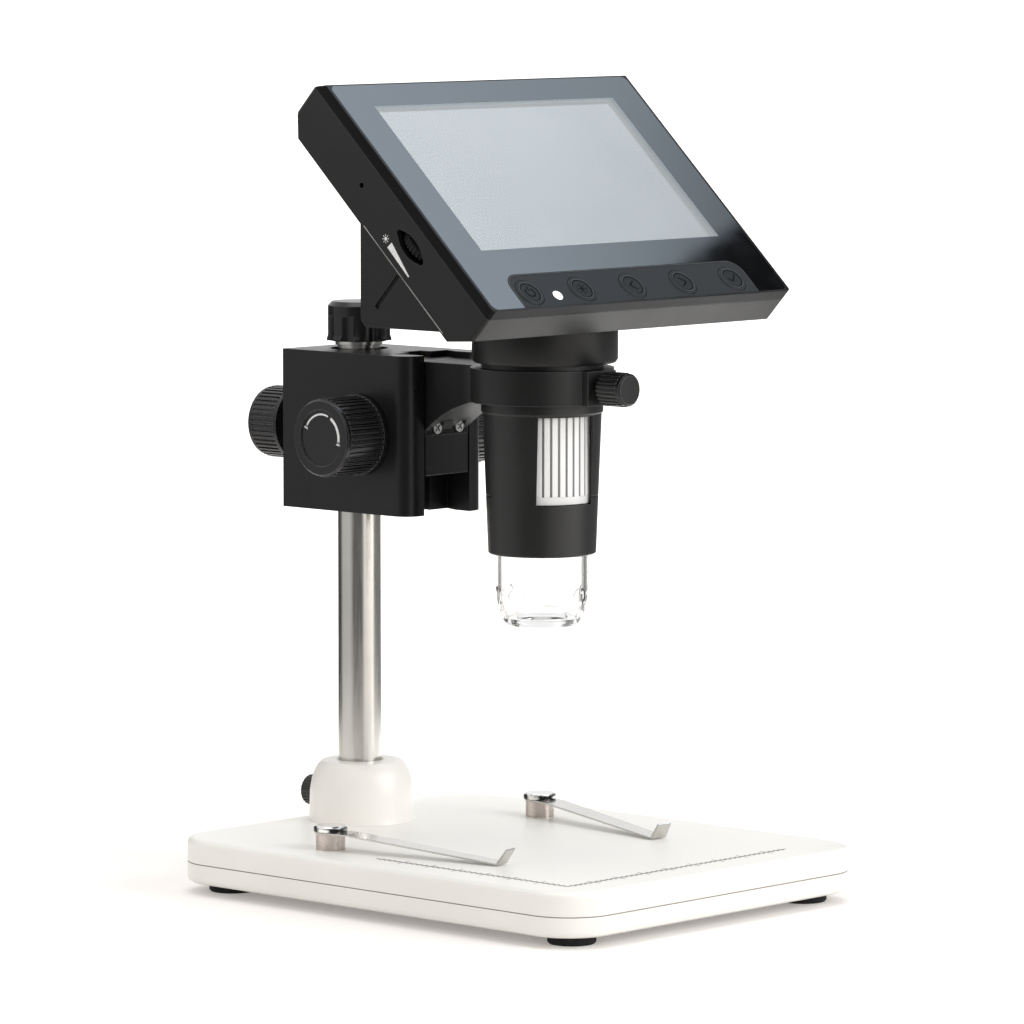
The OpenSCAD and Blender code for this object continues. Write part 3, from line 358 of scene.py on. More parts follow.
def drawArc(bm, x, y, radius, width, startAngle, endAngle, steps):
    # band of a ring, from one angle to the other in degrees
    turn = Matrix.Translation((x, y, 0)) @ Matrix.Rotation(math.radians(startAngle), 4, "Z")
    inner = bm.verts.new(turn @ Vector((radius - width / 2, 0, 0)))
    outer = bm.verts.new(turn @ Vector((radius + width / 2, 0, 0)))
    line = bm.edges.new((inner, outer))
    full = abs(endAngle - startAngle) >= 359.9
    bmesh.ops.spin(bm, geom=[inner, outer, line], cent=(x, y, 0), axis=(0, 0, 1), dvec=(0, 0, 0),
                   angle=math.radians(endAngle - startAngle), steps=steps, use_merge=full)


def drawArrow(bm, x, y, size, heading):
    bmesh.ops.create_circle(bm, cap_ends=True, radius=size, segments=3, matrix=(
        Matrix.Translation((x, y, 0)) @ Matrix.Rotation(math.radians(heading) + math.pi / 2, 4, "Z")))


def drawSun(bm, place, sun):
    # disc with eight short rays
    x, y = place
    drawDisc(bm, x, y, sun["disc"], sun["steps"])
    for ray in range(8):
        nearX, nearY = turned(sun["near"], 45 * ray)
        farX, farY = turned(sun["far"], 45 * ray)
        drawBar(bm, (x + nearX, y + nearY), (x + farX, y + farY), sun["ray"])


# points closer than this are one: drawings in millimetres, solids in metres
mergeDrawn = 0.004
mergeSolid = 1e-6


def inkPiece(name, bm, place, thickness, material, body):
    # flat shapes drawn in millimetres become a thin raised print on the given place
    bmesh.ops.remove_doubles(bm, verts=bm.verts[:], dist=mergeDrawn)
    bmesh.ops.scale(bm, vec=(mm, mm, mm), verts=bm.verts[:])
    bmesh.ops.recalc_face_normals(bm, faces=bm.faces[:])
    bm.normal_update()
    bmesh.ops.reverse_faces(bm, faces=[face for face in bm.faces if face.normal.z < 0])
    grown = bmesh.ops.extrude_face_region(bm, geom=bm.faces[:])
    raised = [item for item in grown["geom"] if isinstance(item, bmesh.types.BMVert)]
    bmesh.ops.translate(bm, vec=(0, 0, thickness * mm), verts=raised)
    bmesh.ops.transform(bm, matrix=place, verts=bm.verts[:])
    finishMesh(name, bm, material, body)


def latheRing(name, profile, place, material, body, steps=48):
    # closed profile of radius and height in millimetres, spun a full turn
    bm = bmesh.new()
    verts = [bm.verts.new(Vector((r, 0, h)) * mm) for r, h in profile]
    edges = [bm.edges.new((verts[i], verts[(i + 1) % len(verts)])) for i in range(len(verts))]
    bmesh.ops.spin(bm, geom=verts + edges, cent=(0, 0, 0), axis=(0, 0, 1), dvec=(0, 0, 0),
                   angle=math.tau, steps=steps, use_merge=True)
    bmesh.ops.remove_doubles(bm, verts=bm.verts[:], dist=mergeSolid)
    bmesh.ops.transform(bm, matrix=place, verts=bm.verts[:])
    finishMesh(name, bm, material, body)


print("helpers ready")


cameraSet = {"place": (-1.24163, -1.16151, 0.27519), "yaw": 47.10, "pitch": -5.70, "lens": 218.54,
             "sensor": 36, "near": 0.05, "far": 60}
camera = bpy.data.cameras.new("studioCamera")
cameraObject = bpy.data.objects.new("studioCamera", camera)
bpy.context.scene.collection.objects.link(cameraObject)
yaw, pitch = math.radians(cameraSet["yaw"]), math.radians(cameraSet["pitch"])
forward = Vector((math.sin(yaw) * math.cos(pitch), math.cos(yaw) * math.cos(pitch), math.sin(pitch)))
cameraObject.location = cameraSet["place"]
cameraObject.rotation_mode = "QUATERNION"
cameraObject.rotation_quaternion = forward.to_track_quat("-Z", "Y")
camera.lens = cameraSet["lens"]
camera.sensor_width = cameraSet["sensor"]
camera.clip_start = cameraSet["near"]
camera.clip_end = cameraSet["far"]
bpy.context.scene.camera = cameraObject
bpy.context.scene.view_settings.view_transform = "Standard"


# lengths in metres; seam is its height and half width, grooves the axis in y, the rim's radius and the
# depth, calm the stretch in y over which the gloss falls and the level it falls to
finishes = {
    "white_plastic": {"colour": (0.925, 0.91, 0.865), "rough": 0.36, "grain": 2600, "bump": 0.1, "edgeWearAndHighlight": 0.1,
                      "spread": 0.012, "edgeWearAndHighlightColour": (0.94, 0.93, 0.90), "seam": (0.0086, 0.00013)},
    "socket_plastic": {"colour": (0.90, 0.87, 0.825), "rough": 0.3, "grain": 2600, "bump": 0.08, "edgeWearAndHighlight": 0.1,
                       "spread": 0.012, "edgeWearAndHighlightColour": (0.93, 0.9, 0.86)},
    "rubber_black": {"colour": (0.014, 0.014, 0.014), "rough": 0.75, "grain": 1500, "bump": 0.5,
                     "specular": 0.3},
    "knob_black": {"colour": (0.009, 0.009, 0.010), "rough": 0.24, "grain": 2200, "bump": 0.1, "edgeWearAndHighlight": 0.5,
                   "specular": 0.38, "edge": 0.00022, "edgeWearAndHighlightColour": (0.32, 0.32, 0.32)},
    "bush_plastic": {"colour": (0.02, 0.02, 0.02), "rough": 0.45, "grain": 1500, "bump": 0.15,
                     "specular": 0.3},
    "block_black": {"colour": (0.008, 0.008, 0.0085), "rough": 0.3, "grain": 3800, "bump": 0.25, "edgeWearAndHighlight": 0.12,
                    "specular": 0.3, "edgeWearAndHighlightColour": (0.12, 0.12, 0.12)},
    "arm_black": {"colour": (0.009, 0.009, 0.009), "rough": 0.38, "grain": 2600, "bump": 0.15, "edgeWearAndHighlight": 0.3,
                  "specular": 0.34, "edgeWearAndHighlightColour": (0.3, 0.3, 0.3), "calm": (0.0, 0.003, 0.15)},
    "barrel_black": {"colour": (0.009, 0.009, 0.009), "rough": 0.38, "grain": 3000, "bump": 0.2, "edgeWearAndHighlight": 0.12,
                     "specular": 0.46, "edgeWearAndHighlightColour": (0.1, 0.1, 0.1)},
    "carrier_black": {"colour": (0.01, 0.01, 0.01), "rough": 0.55, "grain": 1800, "bump": 0.2,
                      "specular": 0.3},
    "shell_black": {"colour": (0.009, 0.009, 0.009), "rough": 0.36, "grain": 3000, "bump": 0.3, "edgeWearAndHighlight": 0.2,
                    "specular": 0.29, "edgeWearAndHighlightColour": (0.2, 0.2, 0.2)},
    "bezel_black": {"colour": (0.007, 0.007, 0.008), "rough": 0.24, "grain": 3000, "bump": 0.1, "edgeWearAndHighlight": 0.25,
                    "specular": 0.07, "edgeWearAndHighlightColour": (0.2, 0.2, 0.2)},
    "wheel_silver": {"colour": (0.92, 0.92, 0.91), "rough": 0.2, "grain": 1200, "bump": 0.1, "coat": 0.6,
                     "spread": 0.03, "edgeWearAndHighlight": 0.1, "grooves": (-0.01895, 0.0142, 0.0006)},
    "board_white": {"colour": (0.85, 0.86, 0.82), "rough": 0.4, "grain": 900, "bump": 0.1, "spread": 0.03},
    "keypad_grey": {"colour": (0.021, 0.023, 0.026), "rough": 0.5, "grain": 3000, "bump": 0.12,
                    "specular": 0.09},
    "key_grey": {"colour": (0.015, 0.017, 0.019), "rough": 0.42, "grain": 3000, "bump": 0.1, "specular": 0.07,
                 "edgeWearAndHighlight": 0.6, "edge": 0.0003, "edgeWearAndHighlightColour": (0.16, 0.16, 0.17)},
    "dial_grey": {"colour": (0.008, 0.008, 0.008), "rough": 0.45, "grain": 1800, "bump": 0.2,
                  "specular": 0.2},
    "cell_wrap": {"colour": (0.05, 0.18, 0.45), "rough": 0.2, "grain": 700, "bump": 0.1, "coat": 0.4},
    "lamp_clear": {"colour": (0.93, 0.92, 0.88), "rough": 0.15, "grain": 700, "bump": 0.05, "coat": 0.6,
                   "spread": 0.02},
}
metals = {
    "weight_steel": {"colour": (0.45, 0.46, 0.48), "rough": 0.4, "grain": 900, "bump": 0.2},
    "screw_steel": {"colour": (0.62, 0.62, 0.62), "rough": 0.25, "grain": 1500, "bump": 0.15, "edge": 0.0003,
                    "rim": (0.02, 0.02, 0.02)},
    # the posts' colour is darker and warmer than the bare metal, as painted shade
    "post_white": {"colour": (0.62, 0.55, 0.51), "rough": 0.3, "grain": 1500, "bump": 0.1},
    "clip_chrome": {"colour": (0.80, 0.79, 0.78), "rough": 0.07, "grain": 800, "bump": 0.04, "edge": 0.0005,
                    "rim": (0.012, 0.011, 0.01),
                    "reflectionBands": [(-1.0, 0.02), (-0.8, 0.02), (-0.62, 0.9), (-0.2, 0.9), (0.0, 0.02), (0.7, 0.02),
                              (0.85, 0.5)]},
    "clip_steel": {"colour": (0.68, 0.665, 0.64), "rough": 0.22, "grain": 900, "bump": 0.12,
                   "stretch": (3, 0.2, 3), "edge": 0.00025, "rim": (0.16, 0.14, 0.12)},
    "column_steel": {"colour": (0.60, 0.585, 0.55), "rough": 0.2, "grain": 1400, "bump": 0.06,
                     "stretch": (1, 1, 0.04)},
    "brass": {"colour": (0.72, 0.48, 0.22), "rough": 0.25, "grain": 900, "bump": 0.15},
    "shaft_steel": {"colour": (0.62, 0.62, 0.63), "rough": 0.2, "grain": 900, "bump": 0.1},
    "port_metal": {"colour": (0.66, 0.66, 0.66), "rough": 0.28, "grain": 900, "bump": 0.1},
}
clears = {
    "nose_clear": {"colour": (0.972, 0.974, 0.974), "ior": 1.37, "rough": 0.03},
    "lens_glass": {"colour": (0.9, 0.95, 0.97), "ior": 1.5, "rough": 0.0},
}
boards = {
    "board_green": {"colour": (0.012, 0.05, 0.025), "trackShade": 1.9, "scale": 260, "track": 0.03,
                    "rough": 0.35, "coat": 0.4, "bump": 0.4, "depth": 0.00003},
}
mats = {}
for maker, looks in ((mouldedPlastic, finishes), (turnedMetal, metals), (clearPlastic, clears),
                     (circuitBoard, boards)):
    for name, look in looks.items():
        mats[name] = maker(name, look)


def headRows(tree, coords):
    # how far across, how far up the screen and how far out of the glass a point lies
    x, y, z = splitCoords(tree, coords)
    middle, tilt = Vector(headPlace["middle"]) * mm, math.radians(headPlace["tilt"])
    backward = addMath(tree, "SUBTRACT", y, middle.y)
    upward = addMath(tree, "SUBTRACT", z, middle.z)
    along = addMath(tree, "ADD", addMath(tree, "MULTIPLY", backward, math.cos(tilt)),
                    addMath(tree, "MULTIPLY", upward, math.sin(tilt)))
    outward = addMath(tree, "SUBTRACT", addMath(tree, "MULTIPLY", upward, math.cos(tilt)),
                      addMath(tree, "MULTIPLY", backward, math.sin(tilt)))
    return x, along, outward


def pastPanel(tree, x, along, halfWidth, halfHeight):
    # how far a point lies outside the display's edges, below zero inside them; the halves in millimetres
    return addMath(tree, "MAXIMUM",
                   addMath(tree, "SUBTRACT", addMath(tree, "ABSOLUTE", x), halfWidth * mm),
                   addMath(tree, "SUBTRACT", addMath(tree, "ABSOLUTE", along), halfHeight * mm))


def displayFinish():
    # pale lit panel under the glass, with its own gloss, a little paler towards the top
    look = {"tone": (0.385, 0.41, 0.42), "topTone": (0.45, 0.47, 0.48), "surface": (0.02, 0.02, 0.022),
            "haze": 22, "halfHeight": 28.0, "patches": (0.4, 0.6), "gloss": 0.36, "smooth": 0.06,
            "coarse": 0.1}
    mat, tree, shader = newMaterial("panel_cell")
    coords = objectCoords(tree)
    haze = addNoise(tree, coords, look["haze"], detail=2, roughness=0.4)
    x, along, outward = headRows(tree, coords)
    rise = addRange(tree, along, -look["halfHeight"] * mm, look["halfHeight"] * mm, *noiseMiddle)
    patch = addMath(tree, "MULTIPLY", addMath(tree, "ADD", rise, haze), 0.5)
    tone = addMix(tree, addRange(tree, patch, *look["patches"]), look["tone"], look["topTone"])
    shader.inputs["Base Color"].default_value = (*look["surface"], 1)
    tree.links.new(tone, shader.inputs["Emission Color"])
    shader.inputs["Emission Strength"].default_value = 1.0
    tree.links.new(addRange(tree, haze, *noiseSpan, look["smooth"], look["coarse"]),
                   shader.inputs["Roughness"])
    shader.inputs["Specular IOR Level"].default_value = look["gloss"]
    return mat


def screenFinish():
    # cover sheet: black border under gloss, clear over the display, the clear part wider at its back
    look = {"halfWidth": 47.52, "halfHeight": 26.93, "flare": 2.0, "sheet": 1.2, "border": 0.12,
            "clearCover": 0.05, "ink": (0.0035, 0.0035, 0.004), "dustTone": (0.03, 0.03, 0.033),
            "dustGrain": 120, "dustSpan": (0.45, 0.75), "dust": 0.12, "smooth": 0.035, "coarse": 0.07,
            "specular": 0.5}
    mat, tree, shader = newMaterial("screen_glass")
    coords = objectCoords(tree)
    x, along, outward = headRows(tree, coords)
    flare = addRange(tree, outward, 0, -look["sheet"] * mm, 0, look["flare"] * mm)
    past = addMath(tree, "SUBTRACT", pastPanel(tree, x, along, look["halfWidth"], look["halfHeight"]), flare)
    tree.links.new(addRange(tree, past, 0, look["border"] * mm, look["clearCover"], 1),
                   shader.inputs["Alpha"])
    dust = addNoise(tree, coords, look["dustGrain"], detail=4)
    dusty = addRange(tree, dust, *look["dustSpan"], 0, look["dust"])
    tree.links.new(addMix(tree, dusty, look["ink"], look["dustTone"]), shader.inputs["Base Color"])
    tree.links.new(addRange(tree, dust, *noiseSpan, look["smooth"], look["coarse"]),
                   shader.inputs["Roughness"])
    shader.inputs["Specular IOR Level"].default_value = look["specular"]
    return mat


def frameFinish():
    # pale carrier round the display, catching its light close to the edge
    look = {"halfWidth": 47.5, "halfHeight": 26.9, "colour": (0.16, 0.17, 0.18), "grain": 500,
            "grainShade": 0.92, "glow": (0.315, 0.352, 0.372), "near": 1.5, "reach": 6.0, "rough": 0.4}
    mat, tree, shader = newMaterial("panel_metal")
    coords = objectCoords(tree)
    x, along, outward = headRows(tree, coords)
    away = pastPanel(tree, x, along, look["halfWidth"], look["halfHeight"])
    grain = addNoise(tree, coords, look["grain"], detail=3)
    tree.links.new(addMix(tree, grain, shade(look["colour"], look["grainShade"]), look["colour"]),
                   shader.inputs["Base Color"])
    shader.inputs["Roughness"].default_value = look["rough"]
    shader.inputs["Emission Color"].default_value = (*look["glow"], 1)
    tree.links.new(addRange(tree, away, look["near"] * mm, look["reach"] * mm, 1, 0),
                   shader.inputs["Emission Strength"])
    return mat


mats["panel_cell"] = displayFinish()
mats["panel_metal"] = frameFinish()
mats["screen_glass"] = screenFinish()
print("finishes made:", len(mats))
for nodeName in nodes:
    paint(nodeName, mats[slotOf[nodeName]])
print("nodes painted")


inks = {
    "whiteInk": {"colour": (0.82, 0.82, 0.82), "thin": (0.7, 0.7, 0.7), "patch": 900},
    "greyInk": {"colour": (0.045, 0.045, 0.048), "thin": (0.16, 0.16, 0.16), "patch": 700},
    "darkInk": {"colour": (0.004, 0.004, 0.004), "thin": (0.007, 0.007, 0.007), "patch": 900,
                "specular": 0.02},
    # lighter than the key: a painted highlight for the key's ring
    "ringHighlightInk": {"colour": (0.07, 0.075, 0.08), "thin": (0.045, 0.048, 0.05), "patch": 260, "specular": 0.1},
    "beadGrey": {"colour": (0.035, 0.038, 0.04), "thin": (0.055, 0.058, 0.06), "patch": 500,
                 "specular": 0.12},
    # light grey: a painted highlight along the slab's edge
    "partingLineHighlight": {"colour": (0.4, 0.4, 0.4), "thin": (0.2, 0.2, 0.2), "patch": 160},
}


def inkFinish(name, ownLook):
    look = {"specular": 0.5, "smooth": 0.4, "coarse": 0.55, **ownLook}
    mat, tree, shader = newMaterial(name)
    patchy = addNoise(tree, objectCoords(tree), look["patch"], detail=3)
    tree.links.new(addMix(tree, addRange(tree, patchy, *noiseMiddle), look["colour"], look["thin"]),
                   shader.inputs["Base Color"])
    tree.links.new(addRange(tree, patchy, *noiseSpan, look["smooth"], look["coarse"]),
                   shader.inputs["Roughness"])
    shader.inputs["Specular IOR Level"].default_value = look["specular"]
    return mat


inkMats = {name: inkFinish(name, look) for name, look in inks.items()}


def deckRuler():
    # length marks along two sides of the deck, longer ones at full centimetres
    ruler = {"corner": (-49.5, -73.75), "deck": 15.3, "rise": 0.03, "left": 70, "right": 88, "line": 0.6,
             "tick": 0.34, "step": 2, "long": 2.2, "short": 1.1}
    bm = bmesh.new()
    x0, y0 = ruler["corner"]
    half = ruler["line"] / 2
    drawBar(bm, (x0, y0 - half), (x0, y0 + ruler["left"]), ruler["line"])
    drawBar(bm, (x0 + half, y0), (x0 + ruler["right"], y0), ruler["line"])
    for length, along, across in ((ruler["left"], Vector((0, 1)), Vector((1, 0))),
                                  (ruler["right"], Vector((1, 0)), Vector((0, 1)))):
        for step in range(ruler["step"], length, ruler["step"]):
            mark = Vector(ruler["corner"]) + step * along
            reach = ruler["long"] if step % 10 == 0 else ruler["short"]
            for side in (-1, 1):
                drawBar(bm, mark + side * half * across, mark + side * reach * across, ruler["tick"])
    inkPiece("deckRuler", bm, Matrix.Translation((0, 0, ruler["deck"] * mm)), ruler["rise"],
             inkMats["greyInk"], "stand")


def knobArrow():
    # two arcs with heads in the dished face of the left focus knob; angles in degrees
    mark = {"radius": 6.5, "thinArc": (68, 155), "thinLine": 0.5, "wideArc": (-12, 58), "wideLine": 0.8,
            "head": 0.85, "rise": 0.04, "face": -30.9, "axis": (34.95, 125.8)}
    bm = bmesh.new()
    drawArc(bm, 0, 0, mark["radius"], mark["thinLine"], *mark["thinArc"], steps=20)
    drawArc(bm, 0, 0, mark["radius"], mark["wideLine"], *mark["wideArc"], steps=18)
    for angle, heading in ((mark["thinArc"][1], 90), (mark["wideArc"][0], -90)):
        drawArrow(bm, *turned(mark["radius"], angle), mark["head"], angle + heading)
    # drawing x runs to the front, drawing y up, and the print faces left
    axisY, axisZ = mark["axis"]
    place = Matrix(((0, 0, -1, mark["face"] * mm), (-1, 0, 0, axisY * mm), (0, 1, 0, axisZ * mm),
                    (0, 0, 0, 1)))
    inkPiece("knobArrow", bm, place, mark["rise"], inkMats["whiteInk"], bodyOf["focus_knob_left"])


def keyMarks():
    # a raised ring painted lighter as its highlight, a fine dark line inside it as painted shade of a groove,
    # and a sign on each key
    keys = {"mid": -0.7, "pitch": 20.3, "row": -42.9, "top": 0.2, "rise": 0.03, "ring": 3.45,
            "ringWidth": 0.3, "ringTop": 0.6, "ringRise": 0.14, "groove": 3.08, "grooveWidth": 0.36,
            "stroke": 0.5, "powerArc": (125, 415), "powerRadius": 1.5}
    sun = {"disc": 0.75, "steps": 28, "near": 1.15, "far": 1.95, "ray": 0.3}
    strokes = {
        "power": [((0, 0.5), (0, 2.1))],
        "lamp": [],
        "left": [((0.9, 1.5), (-1.2, 0)), ((-1.2, 0), (0.9, -1.5))],
        "right": [((-0.9, 1.5), (1.2, 0)), ((1.2, 0), (-0.9, -1.5))],
        "ok": [((-1.6, 0.1), (-0.4, -1.1)), ((-0.5, -1.1), (1.7, 1.3))],
    }
    foot = keys["ringWidth"] / 2
    top = foot * keys["ringTop"]
    profile = [(keys["ring"] - foot, 0), (keys["ring"] + foot, 0), (keys["ring"] + top, keys["ringRise"]),
               (keys["ring"] - top, keys["ringRise"])]
    for index, (key, bars) in enumerate(strokes.items()):
        body = bodyOf["key_" + key]
        across = keys["mid"] + (index - 2) * keys["pitch"]
        place = headMatrix() @ Matrix.Translation(Vector((across, keys["row"], keys["top"])) * mm)
        latheRing(key + "KeyRing", profile, place, inkMats["ringHighlightInk"], body)
        bm = bmesh.new()
        drawArc(bm, 0, 0, keys["groove"], keys["grooveWidth"], 0, 360, steps=40)
        if key == "power":
            drawArc(bm, 0, 0, keys["powerRadius"], keys["stroke"], *keys["powerArc"], steps=26)
        elif key == "lamp":
            drawSun(bm, (0, 0), sun)
        for start, end in bars:
            drawBar(bm, start, end, keys["stroke"])
        inkPiece(key + "KeyMark", bm, place, keys["rise"], inkMats["darkInk"], body)


def keypadBead():
    # fine raised line along the keypad's outline
    bead = {"half": 46.75, "top": -36.45, "low": -47.6, "corner": 4.55, "width": 0.32, "rise": 0.07}
    bm = bmesh.new()
    inner = bead["half"] - bead["corner"]
    cornerY = bead["top"] - bead["corner"]
    drawBar(bm, (-inner, bead["top"]), (inner, bead["top"]), bead["width"])
    for side, start in ((1, 0), (-1, 90)):
        drawArc(bm, side * inner, cornerY, bead["corner"], bead["width"], start, start + 90, steps=10)
        drawBar(bm, (side * bead["half"], bead["low"]), (side * bead["half"], cornerY), bead["width"])
    inkPiece("keypadBead", bm, headMatrix(), bead["rise"], inkMats["beadGrey"], "scope")


def sideMarks():
    # brightness wedge and a small sun beside the lamp dial, on the head's left side
    marks = {"wall": -59.8, "rise": 0.03, "wedgeStart": (-10.3, 14.2), "wedgeEnd": (-21.0, 15.35),
             "startWidth": 2.1, "endWidth": 0.4, "sun": (-8.2, 14.0)}
    sun = {"disc": 0.5, "steps": 18, "near": 0.72, "far": 1.2, "ray": 0.2}
    bm = bmesh.new()
    drawBar(bm, marks["wedgeStart"], marks["wedgeEnd"], marks["startWidth"], marks["endWidth"])
    drawSun(bm, marks["sun"], sun)
    inkPiece("sideMarks", bm, headSide(marks["wall"]), marks["rise"], inkMats["whiteInk"], "scope")


def slabEdge():
    # fine raised parting line on the head's left side, where the slab meets the housing behind it; its light
    # grey is a painted highlight along that edge
    edge = {"wall": -59.8, "back": 17.3, "low": -39.9, "high": -0.1, "width": 0.24, "rise": 0.03}
    bm = bmesh.new()
    drawBar(bm, (edge["low"], edge["back"]), (edge["high"], edge["back"]), edge["width"])
    inkPiece("slabEdge", bm, headSide(edge["wall"]), edge["rise"], inkMats["partingLineHighlight"], "scope")


def statusLens():
    # small lit dome between the first two keys
    lens = {"place": (-31.7, -44.5), "radius": 1.55, "rise": 0.45, "steps": 32, "lit": 0.9, "rough": 0.2,
            "glow": (1, 1, 0.98), "tone": (0.9, 0.9, 0.88), "paler": (0.96, 0.96, 0.94), "patch": 700}
    # parts of the radius and of the rise, from the foot to the top
    dome = [(0, 0), (1, 0), (0.96, 0.35), (0.8, 0.7), (0.5, 0.93), (0, 1)]
    mat, tree, shader = newMaterial("statusLens")
    patchy = addNoise(tree, objectCoords(tree), lens["patch"], detail=2)
    tree.links.new(addMix(tree, patchy, lens["tone"], lens["paler"]), shader.inputs["Base Color"])
    shader.inputs["Roughness"].default_value = lens["rough"]
    shader.inputs["Emission Color"].default_value = (*lens["glow"], 1)
    shader.inputs["Emission Strength"].default_value = lens["lit"]
    profile = [(lens["radius"] * out, lens["rise"] * up) for out, up in dome]
    place = headMatrix() @ Matrix.Translation(Vector((*lens["place"], 0.0)) * mm)
    latheRing("statusLens", profile, place, mat, "scope", lens["steps"])


deckRuler()
knobArrow()
keyMarks()
keypadBead()
sideMarks()
slabEdge()
statusLens()
print("prints and marks laid")


# piece name, width of the eased edge in millimetres and its segments
easedWidths = {
    "front_bezel": ("bezelDressed", 0.25, 2), "rear_shell": ("shellDressed", 0.35, 2),
    "carriage_block": ("blockDressed", 0.4, 3), "scope_arm": ("armDressed", 0.3, 2),
    "focus_slider": ("sliderDressed", 0.25, 2), "barrel_housing": ("barrelDressed", 0.2, 2),
    "neck_collar": ("neckDressed", 0.3, 2), "clip_caps": ("capsDressed", 0.25, 3),
    "column_cap": ("columnCapDressed", 0.35, 2), "column_socket": ("socketDressed", 0.25, 2),
}
for nodeName, (pieceName, width, segments) in easedWidths.items():
    eased(nodeName, pieceName, mats[slotOf[nodeName]], width * mm, segments)
print("edges eased:", len(easedWidths))


def seenLight(tree):
    # 1 for what the camera, gloss and clear things see, 0 for plain light
    path = tree.nodes.new("ShaderNodeLightPath")
    shown = addMath(tree, "MAXIMUM", path.outputs["Is Camera Ray"], path.outputs["Is Glossy Ray"])
    return addMath(tree, "MAXIMUM", shown, path.outputs["Is Transmission Ray"])


def stageMesh(name, bm, material):
    # a mesh of the studio, not of the part
    mesh = bpy.data.meshes.new(name)
    bm.to_mesh(mesh)
    bm.free()
    mesh.materials.append(material)
    thing = bpy.data.objects.new(name, mesh)
    bpy.context.scene.collection.objects.link(thing)
    return thing


def hideFromPlainLight(thing):
    thing.visible_camera = False
    thing.visible_diffuse = False
    thing.visible_shadow = False
    thing.visible_volume_scatter = False


def glowMaterial(name, tint=(1, 1, 1), level=1.0):
    # black surface that only glows
    mat, tree, shader = newMaterial(name)
    shader.inputs["Base Color"].default_value = (0, 0, 0, 1)
    shader.inputs["Specular IOR Level"].default_value = 0.0
    shader.inputs["Emission Color"].default_value = (*tint, 1)
    shader.inputs["Emission Strength"].default_value = level
    return mat, tree, shader


def studioFloor():
    # pale floor, seen dimmer close to the part and full white far off
    floor = {"tone": (0.80, 0.775, 0.755), "glow": (1.0, 0.955, 0.91), "glowNear": 0.25, "near": 0.2,
             "far": 1.1, "half": 14, "rough": 0.9, "specular": 0.1}
    mat, tree, shader = newMaterial("studioFloor")
    shader.inputs["Base Color"].default_value = (*floor["tone"], 1)
    shader.inputs["Roughness"].default_value = floor["rough"]
    shader.inputs["Specular IOR Level"].default_value = floor["specular"]
    x, y, z = splitCoords(tree, objectCoords(tree))
    glow = addRange(tree, addReach(tree, x, y), floor["near"], floor["far"], floor["glowNear"], 1.0)
    shader.inputs["Emission Color"].default_value = (*floor["glow"], 1)
    tree.links.new(addMath(tree, "MULTIPLY", glow, seenLight(tree)), shader.inputs["Emission Strength"])
    bm = bmesh.new()
    bmesh.ops.create_grid(bm, x_segments=1, y_segments=1, size=floor["half"])
    stageMesh("studioFloor", bm, mat)


def studioWorld():
    # white to the eye, lower as a light
    surround = {"tone": (1, 1, 1), "fill": 0.66}
    world = bpy.data.worlds.new("studioWorld")
    bpy.context.scene.world = world
    world.use_nodes = True
    tree = world.node_tree
    background = tree.nodes["Background"]
    background.inputs["Color"].default_value = (*surround["tone"], 1)
    tree.links.new(addRange(tree, seenLight(tree), 0, 1, surround["fill"], 1.0),
                   background.inputs["Strength"])


def softbox(name, box, target):
    # rectangular lamp turned to its target
    data = bpy.data.lights.new(name, "AREA")
    data.shape = "RECTANGLE"
    data.size, data.size_y = box["size"]
    data.energy = box["power"]
    data.color = box["colour"]
    lamp = bpy.data.objects.new(name, data)
    bpy.context.scene.collection.objects.link(lamp)
    lamp.location = box["place"]
    lamp.rotation_mode = "QUATERNION"
    lamp.rotation_quaternion = (Vector(target) - Vector(box["place"])).to_track_quat("-Z", "Y")


def reflectCard(name, matrix, size, material):
    # bright card that only gloss sees
    bm = bmesh.new()
    bmesh.ops.create_grid(bm, x_segments=1, y_segments=1, size=0.5)
    bmesh.ops.scale(bm, vec=(*size, 1), verts=bm.verts[:])
    card = stageMesh(name, bm, material)
    card.matrix_world = matrix
    hideFromPlainLight(card)
    card.visible_transmission = False


def reflectRing():
    # upright band that only gloss and clear things see, dark, grey and open by turns
    ring = {"middle": (0, 0.05, 0), "radius": 0.3, "foot": 0.001, "height": 0.23, "steps": 96}
    # compass angle in degrees, level, and cover from open to full
    stretches = [(0, 0.24, 1), (10, 0.24, 1), (16, 0.4, 0), (58, 0.3, 0), (66, 0.08, 1), (108, 0.08, 1),
                 (122, 0.64, 1), (174, 0.68, 1), (192, 0.14, 1), (238, 0.14, 1), (248, 0.4, 0.35),
                 (298, 0.4, 0), (308, 0.24, 1), (360, 0.24, 1)]
    mat, tree, shader = glowMaterial("reflectRing")
    x, y, z = splitCoords(tree, objectCoords(tree))
    turn = addMath(tree, "FRACT", addMath(tree, "DIVIDE", addMath(tree, "ARCTAN2", y, x), math.tau))
    ramp = addRamp(tree, turn, [(angle / 360, (level, level, level, cover))
                                for angle, level, cover in stretches])
    tree.links.new(ramp.outputs["Color"], shader.inputs["Emission Color"])
    tree.links.new(ramp.outputs["Alpha"], shader.inputs["Alpha"])
    bm = bmesh.new()
    foot = bm.verts.new((ring["radius"], 0, ring["foot"]))
    head = bm.verts.new((ring["radius"], 0, ring["height"]))
    bmesh.ops.spin(bm, geom=[foot, head, bm.edges.new((foot, head))], cent=(0, 0, 0), axis=(0, 0, 1),
                   dvec=(0, 0, 0), angle=math.tau, steps=ring["steps"], use_merge=True)
    band = stageMesh("reflectRing", bm, mat)
    band.location = ring["middle"]
    hideFromPlainLight(band)


def bounceRight():
    # bright sheet low on the right, mirrored by glossy walls
    sheet = {"place": (0.2, -0.06, 0.002), "size": (0.22, 0.44), "tint": (1, 0.99, 0.97), "level": 2.15}
    mat, tree, shader = glowMaterial("bounceRight", sheet["tint"], sheet["level"])
    reflectCard("bounceRight", Matrix.Translation(sheet["place"]), sheet["size"], mat)


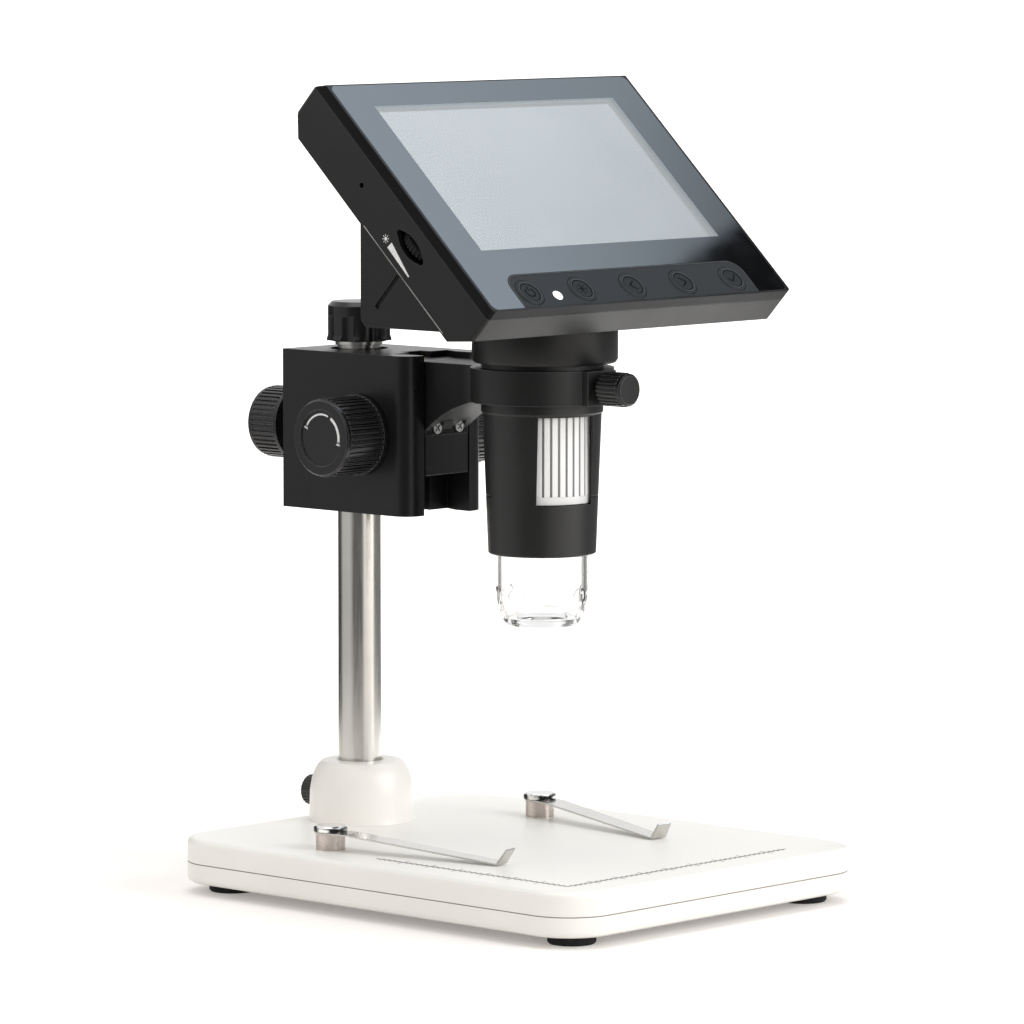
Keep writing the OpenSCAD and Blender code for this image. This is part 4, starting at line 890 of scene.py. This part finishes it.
def screenPanel():
    # bright panel mirrored in the tilted glass, darker to the right, with a dark lower end
    panel = {"place": (0.51024, -0.06430, 0.67684), "across": (0.34042522, -0.83162436, -0.43876143),
             "upward": (0.59395707, 0.55193897, -0.58530195), "size": (0.36, 0.36), "tint": (0.86, 1.0, 1.13),
             "level": 2.95, "slope": 9.0, "corner": 180.0, "cornerFrom": -0.04, "lowest": 0.3,
             "end": 0.030, "endSoft": 0.003, "endLevel": 0.02}
    across, upward = Vector(panel["across"]), Vector(panel["upward"])
    facing = across.cross(upward)
    matrix = Matrix.Translation(panel["place"]) @ Matrix((across, upward, facing)).transposed().to_4x4()
    mat, tree, shader = glowMaterial("screenPanel", panel["tint"])
    x, y, z = splitCoords(tree, objectCoords(tree))
    level = addMath(tree, "SUBTRACT", panel["level"], addMath(tree, "MULTIPLY", y, panel["slope"]))
    past = addMath(tree, "MAXIMUM", addMath(tree, "SUBTRACT", x, panel["cornerFrom"]), 0.0)
    fall = addMath(tree, "MULTIPLY", addMath(tree, "MAXIMUM", y, 0.0), past)
    level = addMath(tree, "SUBTRACT", level, addMath(tree, "MULTIPLY", fall, panel["corner"]))
    lit = addRange(tree, x, panel["end"] - panel["endSoft"], panel["end"] + panel["endSoft"], 1,
                   panel["endLevel"])
    tree.links.new(addMath(tree, "MULTIPLY", addMath(tree, "MAXIMUM", level, panel["lowest"]), lit),
                   shader.inputs["Emission Strength"])
    reflectCard("screenPanel", matrix, panel["size"], mat)


lightTarget = (0, 0, 0.11)
softboxes = {
    "keyFront": {"place": (0.40, -1.45, 0.70), "size": (0.8, 0.9), "power": 12.5, "colour": (1, 1, 1)},
    "fillLeft": {"place": (-1.6, 0.25, 0.8), "size": (0.8, 1.0), "power": 3.2, "colour": (1.0, 0.93, 0.86)},
    "topLight": {"place": (0.1, 0.1, 1.7), "size": (1.3, 1.3), "power": 11, "colour": (1, 1, 1)},
}
studioFloor()
studioWorld()
for name, box in softboxes.items():
    softbox(name, box, lightTarget)
reflectRing()
bounceRight()
screenPanel()
print("studio ready")
